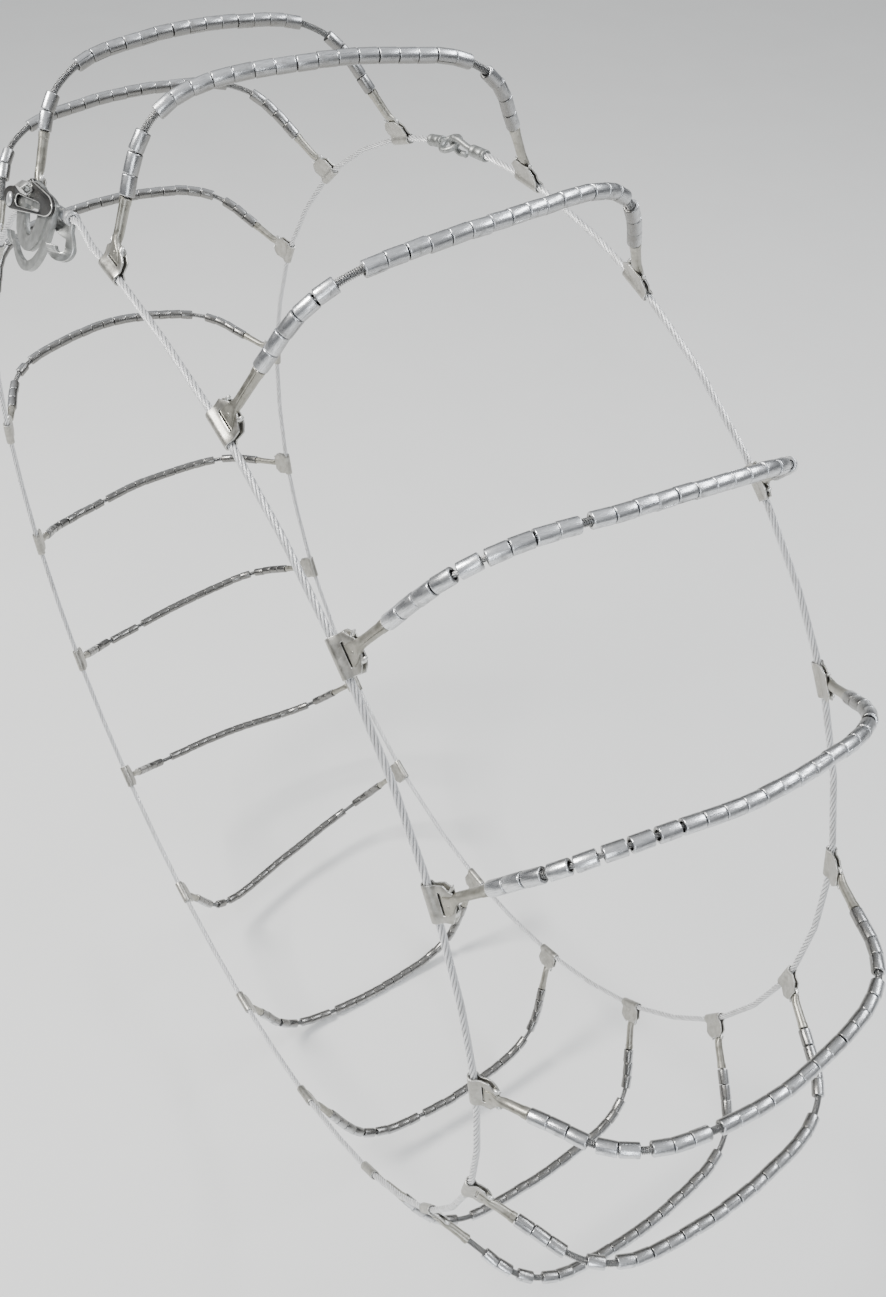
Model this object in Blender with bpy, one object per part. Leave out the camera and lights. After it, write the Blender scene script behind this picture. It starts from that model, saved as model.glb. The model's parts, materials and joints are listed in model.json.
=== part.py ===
"""Cable-type tire snow chains in their fitted shape, around a 22.5 inch truck tire.

Metres, +Z up. The origin is the tire's centre: Y is the axle, and the outer side is at -Y.
Angles go from +Z towards +X.
"""

import math

import bmesh
import bpy
import numpy as np
from mathutils import Matrix, Vector

# Layout of the chain
MEMBER_COUNT = 18
FIRST_ANGLE = -18.6
HALF_PROFILE = (
    (0.4286, 0.1549), (0.4796, 0.1307), (0.5013, 0.1193), (0.5165, 0.1045),
    (0.5281, 0.0792), (0.5336, 0.0394), (0.5357, 0.0),
)
# The tightener pulls the outer side cable up the sidewall: how far, at what angle, over what width
CLIMB, CLIMB_ANGLE, CLIMB_WIDTH = 0.0172, -20.0, 18.5
CLEARANCE = 0.0003
# A side cable runs straight through each clamp, this far to either side of it round the wheel
STRAIGHT_HALF = math.radians(2.4)

# Wire ropes
CABLE_RADIUS = 0.0025
CORE_RADIUS = 0.0020
CORE_START = 0.030

# Traction sleeves and the springs between their groups
SLEEVE_LENGTH = 0.0127
SLEEVE_PITCH = 0.0130
SLEEVE_RADIUS = 0.0048
SLEEVE_BORE = 0.0029
SPRING_RADIUS = 0.0030
SLEEVE_GAP = 0.0012
# Spacing of the points that bend a bare core and a group of sleeves
BEND_STEP = 0.0160
GROUP_STEP = 0.0240

# End clamps
BARREL_LENGTH = 0.025
BARREL_RADIUS = 0.0042
PLATE_START = 0.0033
PLATE_REACH = 0.0115
SHOULDER = 0.0020
PLATE_THICKNESS = 0.0030
NECK_WIDTH = 0.0086
NECK_REACH = 0.021
SLOT_SIZE = (0.0150, 0.0024)
SLOT_AT = 0.0072
SOCKET_START = 0.016
SHORTEST_SOCKET = 0.0400
LONGEST_SOCKET = 0.0500
SOCKET_RADII = (0.0031, 0.0041)
SOCKET_BORE = 0.0026
SOCKET_FLOOR = 0.42
SOCKET_MOUTH = 1.2

# Outer fastener, in the frame of the right cable end: x along the cable, y to the tread, z outwards
FASTENER_ANGLE = -14.5
CAM_AT = (-0.0085, 0.008)
CAM_LEVELS = (0.0056, 0.0092)
CAM_RADIUS = 0.0500
CAM_DROP = 0.004
CAM_HUB = 0.0070
CAM_TRAVEL = 120.0
CAM_SLOT_HALF = 0.0034
CAM_ARM_END = -131.0
CAM_WINDOW = (0.0165, 0.0267)
CAM_OPENING = (0.0435, 0.0100, 60.0)
COLLAR_RADIUS = 0.0045
LEVER_TUBE = (-0.004, 0.011)
LEVER_SIDE = 0.0064
LEVER_SOCKET = 0.0042
LEVER_LEVEL = 0.0172
LINK_LEVELS = (0.0095, 0.0125)
# Link plate: centre and half size of its left and right ends, of its window's ends, and its hub
LINK_LEFT = ((-0.0460, -0.0035), (0.0270, 0.0083))
LINK_RIGHT = ((0.0250, 0.0030), (0.0220, 0.0078))
WINDOW_LEFT = ((-0.0330, -0.0029), (0.0075, 0.0039))
WINDOW_RIGHT = ((0.0150, -0.0006), (0.0060, 0.0028))
LINK_HUB = 0.0072
HOLE_PLAY = 0.0004
PIN_X = 0.0310
PIN_DRAW = 0.0060
PIN_RADIUS = 0.0030
FERRULE_RADIUS = 0.0045
TAKE_UP_ENDS = (-0.0040, 0.0560)
# Where the take-up hook's blade meets its barrel, from the barrel's ends
BLADE_ENDS = (0.0120, 0.0030)
RIGHT_CABLE_END = 0.0215
STRAIGHT_END = 0.0680
JOINED_ARC = 0.0860
ANCHOR_ARC = -0.0620
ANCHOR_HALF = 0.0165
RIVET_AT = -0.0500
TAIL_ARC = -0.0125
RIVET_RADII = (0.0026, 0.0050, 0.0036)
RIVET_HEAD = 0.0022
# J-hooks: the middle of the bend from the barrel's near end, its radii, and where the blade twists
HOOK_BEND = (-0.0090, -0.0190)
HOOK_RADII = (0.0095, 0.0036)
HOOK_ROOT = 0.0020
HOOK_TWIST_SPAN = (0.0080, 0.0180)
HOOK_THICKNESS = 0.0030
HOOK_TWIST = 48.0
HOOK_SET = 0.0045

# Inner joint: where the ferrules sit, and where the cable ends start, from the middle of the joint
INNER_JOINT_ANGLE = -8.0
INNER_END_ARC = 0.0290
INNER_GAP = 0.0240
INNER_HALF = 0.0090
INNER_SHANK = (0.0030, 0.0172)
INNER_HOOK_BEND = 0.0070
INNER_HOOK_WIRE = 0.0023
INNER_EYE_AT = 0.0100
INNER_EYE_RADIUS = 0.0080
INNER_EYE_WIRE = 0.0022

# Sleeve groups of each cross member: start along the path in millimetres, and number of sleeves
GROUPS = (
    ((65.5, 2), (118.6, 14), (324.0, 4)),
    ((50.0, 3), (101.7, 16), (324.0, 4)),
    ((48.3, 5), (129.0, 15), (336.0, 3)),
    ((42.5, 4), (97.0, 1), (112.4, 4), (170.7, 11), (324.0, 4)),
    ((45.0, 3), (202.6, 9), (324.0, 4)),
    ((38.5, 3), (82.0, 2), (114.4, 3), (161.0, 12), (324.0, 4)),
    ((38.5, 3), (92.4, 1), (113.8, 15), (324.0, 4)),
    ((57.0, 2), (89.0, 1), (110.0, 15), (324.0, 4)),
)
GROUPS_OF_MEMBER = (0, 1, 2, 3, 4, 5, 6, 7, 2, 3, 5, 6, 2, 5, 3, 6, 2, 0)
DETAILED_MEMBER = 5
DETAILED_SLEEVES = (87.2, 102.2, 117.8, 132.6, 148.3, 163.2, 176.4, 189.4)

# How far each cross member leans round the tire, in degrees, at quarters of its path
SLANTS = (
    (-0.2, -0.7, -1.3, -1.2, -0.4),
    (0.4, -0.8, 1.7, 3.6, 2.8),
    (0.8, 0.9, 1.0, -0.1, -0.1),
    (0.7, -0.8, 0.1, 1.0, 1.0),
    (0.6, -2.8, -1.9, -1.4, -0.5),
    (0.2, 0.4, 1.6, 0.5, -0.3),
    (-0.7, -0.4, 0.1, 0.1, -0.1),
    (-0.3, -0.6, -0.5, -0.2, 0.0),
    (0.0, 0.5, 0.8, 0.4, 0.0),
    (0.2, -0.4, -0.8, -0.5, 0.0),
)

ZINC = (0.62, 0.62, 0.60)
BRIGHT_STEEL = (0.78, 0.79, 0.80)
DARK_STEEL = (0.09, 0.09, 0.09)
LIGHT_CASTING = (0.50, 0.50, 0.48)


# ---------------------------------------------------------------- scene helpers

def clear_scene():
    for obj in list(bpy.data.objects):
        bpy.data.objects.remove(obj, do_unlink=True)


def new_collection(name):
    collection = bpy.data.collections.new(name)
    bpy.context.scene.collection.children.link(collection)
    return collection


def metal(name, colour, roughness):
    material = bpy.data.materials.new(name)
    material.use_nodes = True
    shader = material.node_tree.nodes["Principled BSDF"]
    shader.inputs["Base Color"].default_value = (*colour, 1.0)
    shader.inputs["Roughness"].default_value = roughness
    shader.inputs["Metallic"].default_value = 1.0
    return material


def add_object(name, data, collection, material=None, matrix=None):
    obj = bpy.data.objects.new(name, data)
    collection.objects.link(obj)
    if material:
        data.materials.append(material)
    if matrix:
        obj.matrix_world = matrix
    return obj


def evaluated_mesh(obj, name):
    """A copy of the object's mesh with its modifiers applied."""
    graph = bpy.context.evaluated_depsgraph_get()
    mesh = bpy.data.meshes.new_from_object(obj.evaluated_get(graph))
    mesh.name = name
    edit = bmesh.new()
    edit.from_mesh(mesh)
    bmesh.ops.remove_doubles(edit, verts=edit.verts, dist=1e-6)
    edit.to_mesh(mesh)
    edit.free()
    return mesh


def combined(name, base, steps):
    """The base mesh object after a list of (operation, mesh object) Booleans, as one mesh."""
    for operation, other in steps:
        modifier = base.modifiers.new(operation, "BOOLEAN")
        modifier.operation = operation
        modifier.object = other
    bpy.context.view_layer.update()
    mesh = evaluated_mesh(base, name)
    for obj in [base] + [other for _, other in steps]:
        bpy.data.objects.remove(obj, do_unlink=True)
    return mesh


def shade(obj):
    obj.data.shade_smooth()
    obj.data.set_sharp_from_angle(angle=math.radians(40))
    return obj


# ---------------------------------------------------------------- shapes

def cylinder(start, end, radii, sides=8):
    """A closed cone or cylinder between two points, as a mesh object in the scratch collection."""
    start, end = Vector(start), Vector(end)
    axis = end - start
    edit = bmesh.new()
    turn = axis.to_track_quat("Z", "Y").to_matrix().to_4x4()
    place = Matrix.Translation((start + end) / 2) @ turn @ Matrix.Rotation(math.pi / sides, 4, "Z")
    bmesh.ops.create_cone(
        edit, cap_ends=True, segments=sides, radius1=radii[0], radius2=radii[1],
        depth=axis.length, matrix=place,
    )
    mesh = bpy.data.meshes.new("cylinder")
    edit.to_mesh(mesh)
    edit.free()
    return add_object("scratch", mesh, scratch)


def cable_bore(start, end):
    """A cutter for the cable's eight-sided hole, whose flats clear the cable."""
    corner = (CABLE_RADIUS + CLEARANCE) / math.cos(math.pi / 8)
    return cylinder(start, end, (corner, corner))


def slab(outline, low, high):
    """A flat outline of (x, y) points, extruded from z = low to z = high, as a mesh object."""
    curve = bpy.data.curves.new("outline", "CURVE")
    curve.dimensions = "2D"
    curve.fill_mode = "BOTH"
    curve.extrude = (high - low) / 2
    spline = curve.splines.new("POLY")
    spline.points.add(len(outline) - 1)
    for point, (x, y) in zip(spline.points, outline):
        point.co = (x, y, 0.0, 1.0)
    spline.use_cyclic_u = True
    flat = add_object("flat", curve, scratch)
    bpy.context.view_layer.update()
    mesh = evaluated_mesh(flat, "slab")
    bpy.data.objects.remove(flat, do_unlink=True)
    mesh.transform(Matrix.Translation((0, 0, (low + high) / 2)))
    return add_object("scratch", mesh, scratch)


def arc(centre, radius, first, last, steps):
    """Points of a circular arc, in degrees from +x, counter-clockwise."""
    angles = np.radians(np.linspace(first, last, steps))
    return [(centre[0] + radius * math.cos(a), centre[1] + radius * math.sin(a)) for a in angles]


def rectangle(x, y):
    return [(x[0], y[0]), (x[1], y[0]), (x[1], y[1]), (x[0], y[1])]


def tube(name, points, radii, collection, material, cyclic=False):
    """A round wire through the points, with its own radius at each of them."""
    thickest = max(radii)
    curve = bpy.data.curves.new(name, "CURVE")
    curve.dimensions = "3D"
    curve.bevel_depth = thickest
    curve.bevel_resolution = 2
    curve.use_fill_caps = True
    curve.twist_mode = "MINIMUM"
    spline = curve.splines.new("POLY")
    spline.points.add(len(points) - 1)
    for point, place, radius in zip(spline.points, points, radii):
        point.co = (*place, 1.0)
        point.radius = radius / thickest
    spline.use_cyclic_u = cyclic
    return add_object(name, curve, collection, material)


# ---------------------------------------------------------------- path of a cross member

def smooth_through(points, steps):
    """A Catmull-Rom curve through the points."""
    points = np.array(points, float)
    ends = np.vstack([2 * points[0] - points[1], points, 2 * points[-1] - points[-2]])
    found = []
    for a, b, c, d in zip(ends, ends[1:], ends[2:], ends[3:]):
        for t in np.linspace(0, 1, steps, endpoint=False):
            found.append(0.5 * (2 * b + (c - a) * t + (2 * a - 5 * b + 4 * c - d) * t**2
                                + (3 * b - 3 * c + d - a) * t**3))
    return np.vstack([found, points[-1]])


def whole_profile():
    """Radius and axial place from the outer side cable over the tread to the inner one."""
    outer = [(radius, -axial) for radius, axial in HALF_PROFILE]
    return smooth_through(outer + [(radius, -axial) for radius, axial in outer[-2::-1]], 12)


def on_wheel(radius, angle, axial):
    return Vector((radius * math.sin(angle), axial, radius * math.cos(angle)))


def lengths_along(points):
    """Distance from the first point to each of them, along the line."""
    return np.concatenate([[0], np.cumsum(np.linalg.norm(np.diff(points, axis=0), axis=1))])


class MemberPath:
    """The centre line of one cross member; at(s) is the point s metres along it."""

    def __init__(self, index):
        profile = whole_profile()
        share = lengths_along(profile) / lengths_along(profile)[-1]
        slants = smooth_through([[slant] for slant in SLANTS[index % len(SLANTS)]], 12)[:, 0]
        lean = np.interp(share, np.linspace(0, 1, len(slants)), slants)
        angles = np.radians(FIRST_ANGLE + 360 / MEMBER_COUNT * index + lean)
        self.points = np.array([on_wheel(r, a, y) for (r, y), a in zip(profile, angles)])
        self.along = lengths_along(self.points)
        self.length = self.along[-1]
        self.clamp_angles = (angles[0], angles[-1])
        self.start = climb_at(angles[0], -1)

    def at(self, s):
        return Vector([np.interp(s, self.along, self.points[:, axis]) for axis in range(3)])


# ---------------------------------------------------------------- side cables

def climb_at(angle, side):
    """How far up the sidewall the side cable stands, in metres; only the outer one is pulled up."""
    if side > 0:
        return 0.0
    off = (math.degrees(angle) - CLIMB_ANGLE + 180) % 360 - 180
    return CLIMB * math.exp(-((off / CLIMB_WIDTH) ** 2))


def sidewall(angle, side):
    """Unit vector up the sidewall to the tread."""
    (radius, axial), (next_radius, next_axial) = HALF_PROFILE[:2]
    return on_wheel(next_radius - radius, angle, side * (next_axial - axial)).normalized()


def ring_point(angle, side):
    """A point of a side cable; straight stretches between such points touch the cable's radius."""
    radius, axial = HALF_PROFILE[0]
    base = on_wheel(radius / math.cos(STRAIGHT_HALF), angle, side * axial)
    return base + sidewall(angle, side) * climb_at(angle, side)


def ring_route(clamp_angles, side, start, end):
    """Cable points from start to end angle, with a straight stretch through each clamp."""
    step = 2 * math.pi / MEMBER_COUNT
    angles = [start, end]
    for angle in clamp_angles:
        for extra in (-STRAIGHT_HALF, STRAIGHT_HALF, step / 2):
            turned = angle + extra
            angles += [turned + turn for turn in (-2 * math.pi, 0, 2 * math.pi)]
    inside = sorted(a for a in angles if start <= a <= end)
    return [ring_point(a, side) for a in inside]


def side_frame(angle, side):
    """Axes at a side cable: x round the wheel, y towards the tread, z away from the tire."""
    before, after = ring_point(angle - STRAIGHT_HALF, side), ring_point(angle + STRAIGHT_HALF, side)
    along = (before - after if side > 0 else after - before).normalized()
    climb = sidewall(angle, side)
    outwards = along.cross(climb).normalized()
    climb = outwards.cross(along)
    turn = Matrix((along, climb, outwards)).transposed().to_4x4()
    return Matrix.Translation((before + after) / 2) @ turn


# ---------------------------------------------------------------- end clamps

def clamp_plate():
    half, neck = BARREL_LENGTH / 2, NECK_WIDTH / 2
    shoulder = PLATE_REACH + SHOULDER
    outline = [
        (-half, PLATE_START), (half, PLATE_START), (half, PLATE_REACH), (neck + SHOULDER, shoulder),
        (neck, NECK_REACH), (-neck, NECK_REACH), (-neck - SHOULDER, shoulder), (-half, PLATE_REACH),
    ]
    return slab(outline, -PLATE_THICKNESS / 2, PLATE_THICKNESS / 2)


def socket_end(index, path, side):
    """How far the socket reaches along the core: up to the first sleeve, where that is near."""
    groups = GROUPS[GROUPS_OF_MEMBER[index]]
    first, (last, count) = groups[0][0] / 1000, groups[-1]
    reach = first - path.start if side < 0 else path.length - last / 1000 - count * SLEEVE_PITCH
    return SHORTEST_SOCKET if reach > LONGEST_SOCKET else reach - 2 * CLEARANCE


def clamp_mesh(name, index, path, side):
    """Barrel, slotted plate and core socket as one stamped piece, in world space."""
    frame = side_frame(path.clamp_angles[0 if side < 0 else 1], side)
    half = BARREL_LENGTH / 2
    turned = frame.inverted()
    reach = [
        turned @ path.at(path.start + s if side < 0 else path.length - s)
        for s in (SOCKET_START, socket_end(index, path, side))
    ]
    barrel = cylinder((-half, 0, 0), (half, 0, 0), (BARREL_RADIUS,) * 2)
    slot_x, slot_y = SLOT_SIZE
    slot = slab(
        rectangle((-slot_x / 2, slot_x / 2), (SLOT_AT - slot_y / 2, SLOT_AT + slot_y / 2)),
        -PLATE_THICKNESS, PLATE_THICKNESS,
    )
    floor, mouth = (reach[0].lerp(reach[1], share) for share in (SOCKET_FLOOR, SOCKET_MOUTH))
    steps = [
        ("UNION", clamp_plate()),
        ("UNION", cylinder(reach[0], reach[1], SOCKET_RADII)),
        ("DIFFERENCE", slot),
        ("DIFFERENCE", cylinder(floor, mouth, (SOCKET_BORE,) * 2)),
    ]
    if side < 0:
        steps.append(("DIFFERENCE", cable_bore((-2 * half, 0, 0), (2 * half, 0, 0))))
    mesh = combined(name, barrel, steps)
    mesh.transform(frame)
    return mesh


# ---------------------------------------------------------------- cross members

def add_step(stations, at, before, after):
    stations.append((at - CLEARANCE, before))
    stations.append((at + CLEARANCE, after))


def member_stations(index, path):
    """(place along the path, radius) pairs: core ends, sleeve groups and springs."""
    groups = GROUPS[GROUPS_OF_MEMBER[index]]
    stations = [(path.start + CORE_START, CORE_RADIUS)]
    previous = CORE_RADIUS
    for number, (start, count) in enumerate(groups):
        begin = start / 1000
        finish = begin + count * SLEEVE_PITCH - CLEARANCE
        bare = index == DETAILED_MEMBER - 1 and number == 1
        if bare:
            bare_start = DETAILED_SLEEVES[0] / 1000 - SLEEVE_GAP
            add_step(stations, bare_start, previous, CORE_RADIUS)
            previous = CORE_RADIUS
            bends = np.arange(bare_start + BEND_STEP, begin - BEND_STEP / 2, BEND_STEP)
            stations += [(s, CORE_RADIUS) for s in bends]
        add_step(stations, begin, previous, SLEEVE_RADIUS)
        spans = max(1, round((finish - begin) / GROUP_STEP))
        inner = np.linspace(begin, finish, spans + 1)[1:-1]
        stations += [(s, SLEEVE_RADIUS) for s in inner]
        last = number == len(groups) - 1
        previous = CORE_RADIUS if last else SPRING_RADIUS
        add_step(stations, finish, SLEEVE_RADIUS, previous)
    stations.append((path.length - CORE_START, CORE_RADIUS))
    return stations


def build_member(index, path):
    stations = member_stations(index, path)
    points = [path.at(s) for s, _ in stations]
    radii = [radius for _, radius in stations]
    name = f"cross_member_{index + 1:02d}"
    tube(name, points, radii, chain, bright_steel)


def build_sleeve(number, path, start):
    """One loose sleeve with its origin on the axis that it spins about."""
    begin, finish = path.at(start), path.at(start + SLEEVE_LENGTH)
    axis = (finish - begin).normalized()
    place = Matrix.Translation((begin + finish) / 2) @ axis.to_track_quat("Z", "Y").to_matrix().to_4x4()
    half = SLEEVE_LENGTH / 2
    outside = cylinder((0, 0, -half), (0, 0, half), (SLEEVE_RADIUS,) * 2, 12)
    bore = cylinder((0, 0, -2 * half), (0, 0, 2 * half), (SLEEVE_BORE,) * 2, 12)
    mesh = combined(f"sleeve_{number}", outside, [("DIFFERENCE", bore)])
    shade(add_object(f"traction_sleeve_{number}", mesh, chain, bright_steel, place))


# ---------------------------------------------------------------- outer fastener

def ellipse(centre, size, first, last, steps):
    """Points of an elliptical arc, in degrees from +x, counter-clockwise."""
    return [(centre[0] + size[0] * x, centre[1] + size[1] * y) for x, y in arc((0, 0), 1, first, last, steps)]


def cam_spiral(offset, first, last, steps):
    """Points beside the cam's slot, where the pin stands after each turn, for a pin that moves along x."""
    points = []
    for turn in np.linspace(first, last, steps):
        x, y = PIN_X + PIN_DRAW * turn / CAM_TRAVEL - CAM_AT[0], -CAM_AT[1]
        radius, angle = math.hypot(x, y) + offset, math.atan2(y, x) - math.radians(turn)
        points.append((radius * math.cos(angle), radius * math.sin(angle)))
    return points


def square_bar(ends, side):
    """A square bar along x at the lever's level, standing on one of its edges."""
    bar = cylinder((ends[0], 0, 0), (ends[1], 0, 0), (side / math.sqrt(2),) * 2, 4)
    bar.data.transform(Matrix.Translation((0, 0, LEVER_LEVEL)) @ Matrix.Rotation(math.pi / 4, 4, "X"))
    return bar


def build_cam(frame):
    """Cam with a curved slot, open at one end, for the take-up pin, and a tube for the tightening lever."""
    low, high = CAM_LEVELS
    middle = (0, -CAM_DROP)
    shoulder = (CAM_RADIUS, CAM_HUB)
    outline = arc(middle, CAM_RADIUS, -178, 0, 25) + ellipse(middle, shoulder, 10, 65, 5)
    outline += arc((0, 0), CAM_HUB, 60, 120, 6) + ellipse(middle, shoulder, 115, 170, 5)
    travel = CAM_TRAVEL + 4
    slot = cam_spiral(CAM_SLOT_HALF, 0, travel, 18) + cam_spiral(-CAM_SLOT_HALF, travel, 0, 18)
    (pin_x, pin_y), = cam_spiral(0, 0, 0, 1)
    inner, narrowing, sweep = CAM_OPENING
    shares = np.linspace(0, 1, 9)
    opening = [arc((0, 0), inner - narrowing * t, CAM_ARM_END - sweep * t, 0, 1)[0] for t in shares]
    opening += arc((0, 0), 2 * CAM_RADIUS, CAM_ARM_END - sweep, CAM_ARM_END, 7)
    window = ellipse(middle, CAM_WINDOW, -165, -15, 12)
    above = high + CLEARANCE / 3
    pin_hole = cylinder((pin_x, pin_y, 0), (pin_x, pin_y, above), (CAM_SLOT_HALF,) * 2, 12)
    mesh = combined("tightening_cam", slab(outline, low, high), [
        ("UNION", cylinder((0, 0, (low + high) / 2), (0, 0, LEVER_LEVEL), (COLLAR_RADIUS,) * 2, 16)),
        ("UNION", square_bar(LEVER_TUBE, LEVER_SIDE)),
        ("DIFFERENCE", slab(slot, 0, above)),
        ("DIFFERENCE", pin_hole),
        ("DIFFERENCE", slab(opening, 0, above)),
        ("DIFFERENCE", slab(window, 0, above)),
        ("DIFFERENCE", square_bar([3 * end for end in LEVER_TUBE], LEVER_SOCKET)),
    ])
    place = frame @ Matrix.Translation((*CAM_AT, 0))
    shade(add_object("tightening_cam", mesh, chain, light_casting, place))


def build_link_plate(frame, anchor):
    """The dark plate that carries the cam's collar and is riveted to the left cable."""
    outline = ellipse(*LINK_LEFT, 100, 260, 12) + ellipse(*LINK_RIGHT, -85, 60, 10)
    outline += arc(CAM_AT, LINK_HUB, 50, 130, 6)
    window = ellipse(*WINDOW_RIGHT, -85, 85, 6) + ellipse(*WINDOW_LEFT, 95, 265, 6)
    low, high = LINK_LEVELS
    collar_hole, rivet_hole = COLLAR_RADIUS + HOLE_PLAY, RIVET_RADII[0] + HOLE_PLAY
    mesh = combined("link_plate", slab(outline, low, high), [
        ("DIFFERENCE", slab(window, 0, 2 * high)),
        ("DIFFERENCE", cylinder((*CAM_AT, 0), (*CAM_AT, 2 * high), (collar_hole,) * 2, 16)),
        ("DIFFERENCE", cylinder((*anchor.xy, 0), (*anchor.xy, 2 * high), (rivet_hole,) * 2, 12)),
    ])
    shade(add_object("link_plate", mesh, chain, dark_steel, frame))


def hook_blade(root):
    """Flat J-hook that hangs below a barrel: a gusset from the root's far end, a blade and a round tip."""
    far, near = root
    bend = (near + HOOK_BEND[0], HOOK_BEND[1])
    outer, inner = arc(bend, HOOK_RADII[0], 10, -180, 12), arc(bend, HOOK_RADII[1], -180, 10, 9)
    throat, heel = (near - 0.0060, -0.0135), (far, -0.0055)
    outline = [(near, -HOOK_ROOT), *outer, *inner, throat, heel, (far, -HOOK_ROOT)]
    blade = slab(outline[::-1], -HOOK_THICKNESS / 2, HOOK_THICKNESS / 2)
    for vertex in blade.data.vertices:
        twist = math.radians(HOOK_TWIST) * np.interp(-vertex.co.y, HOOK_TWIST_SPAN, (0, 1))
        offset = near - HOOK_SET - vertex.co.x
        vertex.co.x = near - HOOK_SET - offset * math.cos(twist)
        vertex.co.z += offset * math.sin(twist)
    return blade


def build_take_up(frame):
    """Crimped end piece of the right cable: the pin in the cam's slot, and a hook for a rubber strap."""
    start, end = TAKE_UP_ENDS
    near, far = BLADE_ENDS
    mesh = combined("take_up_hook", cylinder((start, 0, 0), (end, 0, 0), (FERRULE_RADIUS,) * 2, 12), [
        ("UNION", hook_blade((start + near, end + far))),
        ("UNION", cylinder((PIN_X, 0, 0), (PIN_X, 0, CAM_LEVELS[1] - CLEARANCE), (PIN_RADIUS,) * 2, 12)),
        ("DIFFERENCE", cable_bore((RIGHT_CABLE_END - 1.5 * PIN_DRAW, 0, 0), (2 * end, 0, 0))),
    ])
    shade(add_object("take_up_hook", mesh, chain, zinc, frame))


def build_anchor(frame, anchor):
    """End piece crimped on the left cable, and the rivet that holds the link plate to it."""
    place = side_frame(fastener_arc(ANCHOR_ARC), -1)
    half = ANCHOR_HALF
    blade = hook_blade((-half + 0.004, half))
    blade.data.transform(Matrix.Diagonal((-1, 1, 1, 1)))
    blade.data.flip_normals()
    mesh = combined("anchor_hook", cylinder((-half, 0, 0), (half, 0, 0), (FERRULE_RADIUS,) * 2, 12), [
        ("UNION", blade),
        ("DIFFERENCE", cable_bore((-2 * half, 0, 0), (2 * half, 0, 0))),
    ])
    shade(add_object("anchor_hook", mesh, chain, zinc, place))
    foot = FERRULE_RADIUS + CLEARANCE
    top = LINK_LEVELS[1] + CLEARANCE
    shank_radius, *head_radii = RIVET_RADII
    shank = cylinder((*anchor.xy, foot), (*anchor.xy, top + RIVET_HEAD / 2), (shank_radius,) * 2, 12)
    head = cylinder((*anchor.xy, top), (*anchor.xy, top + RIVET_HEAD), head_radii, 12)
    mesh = combined("anchor_rivet", shank, [("UNION", head)])
    shade(add_object("anchor_rivet", mesh, chain, bright_steel, frame))


def fastener_arc(arc_length):
    """The wheel angle at an arc length from the fastener frame's origin, in radians."""
    return math.radians(FASTENER_ANGLE) + arc_length / HALF_PROFILE[0][0]


def build_outer_side(paths):
    frame = side_frame(math.radians(FASTENER_ANGLE), -1)
    angles = [path.clamp_angles[0] for path in paths]
    start, end = fastener_arc(JOINED_ARC), fastener_arc(TAIL_ARC) + 2 * math.pi
    route = [frame @ Vector((x, 0, 0)) for x in (RIGHT_CABLE_END, STRAIGHT_END)]
    route += ring_route(angles + [fastener_arc(ANCHOR_ARC)], -1, start, end)
    tube("outer_side_cable", route, [CABLE_RADIUS] * len(route), chain, zinc)
    anchor = frame.inverted() @ side_frame(fastener_arc(RIVET_AT), -1).translation
    build_cam(frame)
    build_link_plate(frame, anchor)
    build_take_up(frame)
    build_anchor(frame, anchor)


# ---------------------------------------------------------------- inner side

def inner_arc(arc_length):
    """The wheel angle at an arc length from the middle of the inner joint, in radians."""
    return math.radians(INNER_JOINT_ANGLE) + arc_length / HALF_PROFILE[0][0]


def build_inner_side(paths):
    """Inner side cable with its crimped clamps, open between the hook and the eye."""
    angles = [path.clamp_angles[1] for path in paths]
    ends = [inner_arc(-INNER_END_ARC), inner_arc(INNER_END_ARC)]
    gap = INNER_GAP / HALF_PROFILE[0][0]
    joint = math.radians(INNER_JOINT_ANGLE)
    route = ring_route(angles + ends, 1, joint + gap, joint + 2 * math.pi - gap)
    body = wire_mesh_object(route, CABLE_RADIUS)
    steps = []
    for index, path in enumerate(paths):
        mesh = clamp_mesh("inner_clamp", index, path, 1)
        steps.append(("UNION", add_object("inner_clamp", mesh, scratch)))
    mesh = combined("inner_side_cable", body, steps)
    shade(add_object("inner_side_cable", mesh, chain, zinc))


def wire_mesh_object(points, radius, cyclic=False):
    wire = tube("wire", points, [radius] * len(points), scratch, None, cyclic)
    bpy.context.view_layer.update()
    obj = add_object("wire_mesh", evaluated_mesh(wire, "wire_mesh"), scratch)
    bpy.data.objects.remove(wire, do_unlink=True)
    return obj


def hook_wire():
    shank = [(-0.021, 0.0), (-0.015, 0.0016), (-0.010, 0.0042), (-0.006, 0.0062)]
    bend = arc((0, 0), INNER_HOOK_BEND, 100, -110, 12)
    tip = (-0.0075, -0.0072)
    return wire_mesh_object([(x, y, 0) for x, y in shank + bend + [tip]], INNER_HOOK_WIRE)


def eye_ring():
    ring = arc((INNER_EYE_AT, 0), INNER_EYE_RADIUS, 0, 337.5, 16)
    return wire_mesh_object([(x, 0, z) for x, z in ring], INNER_EYE_WIRE, cyclic=True)


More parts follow.
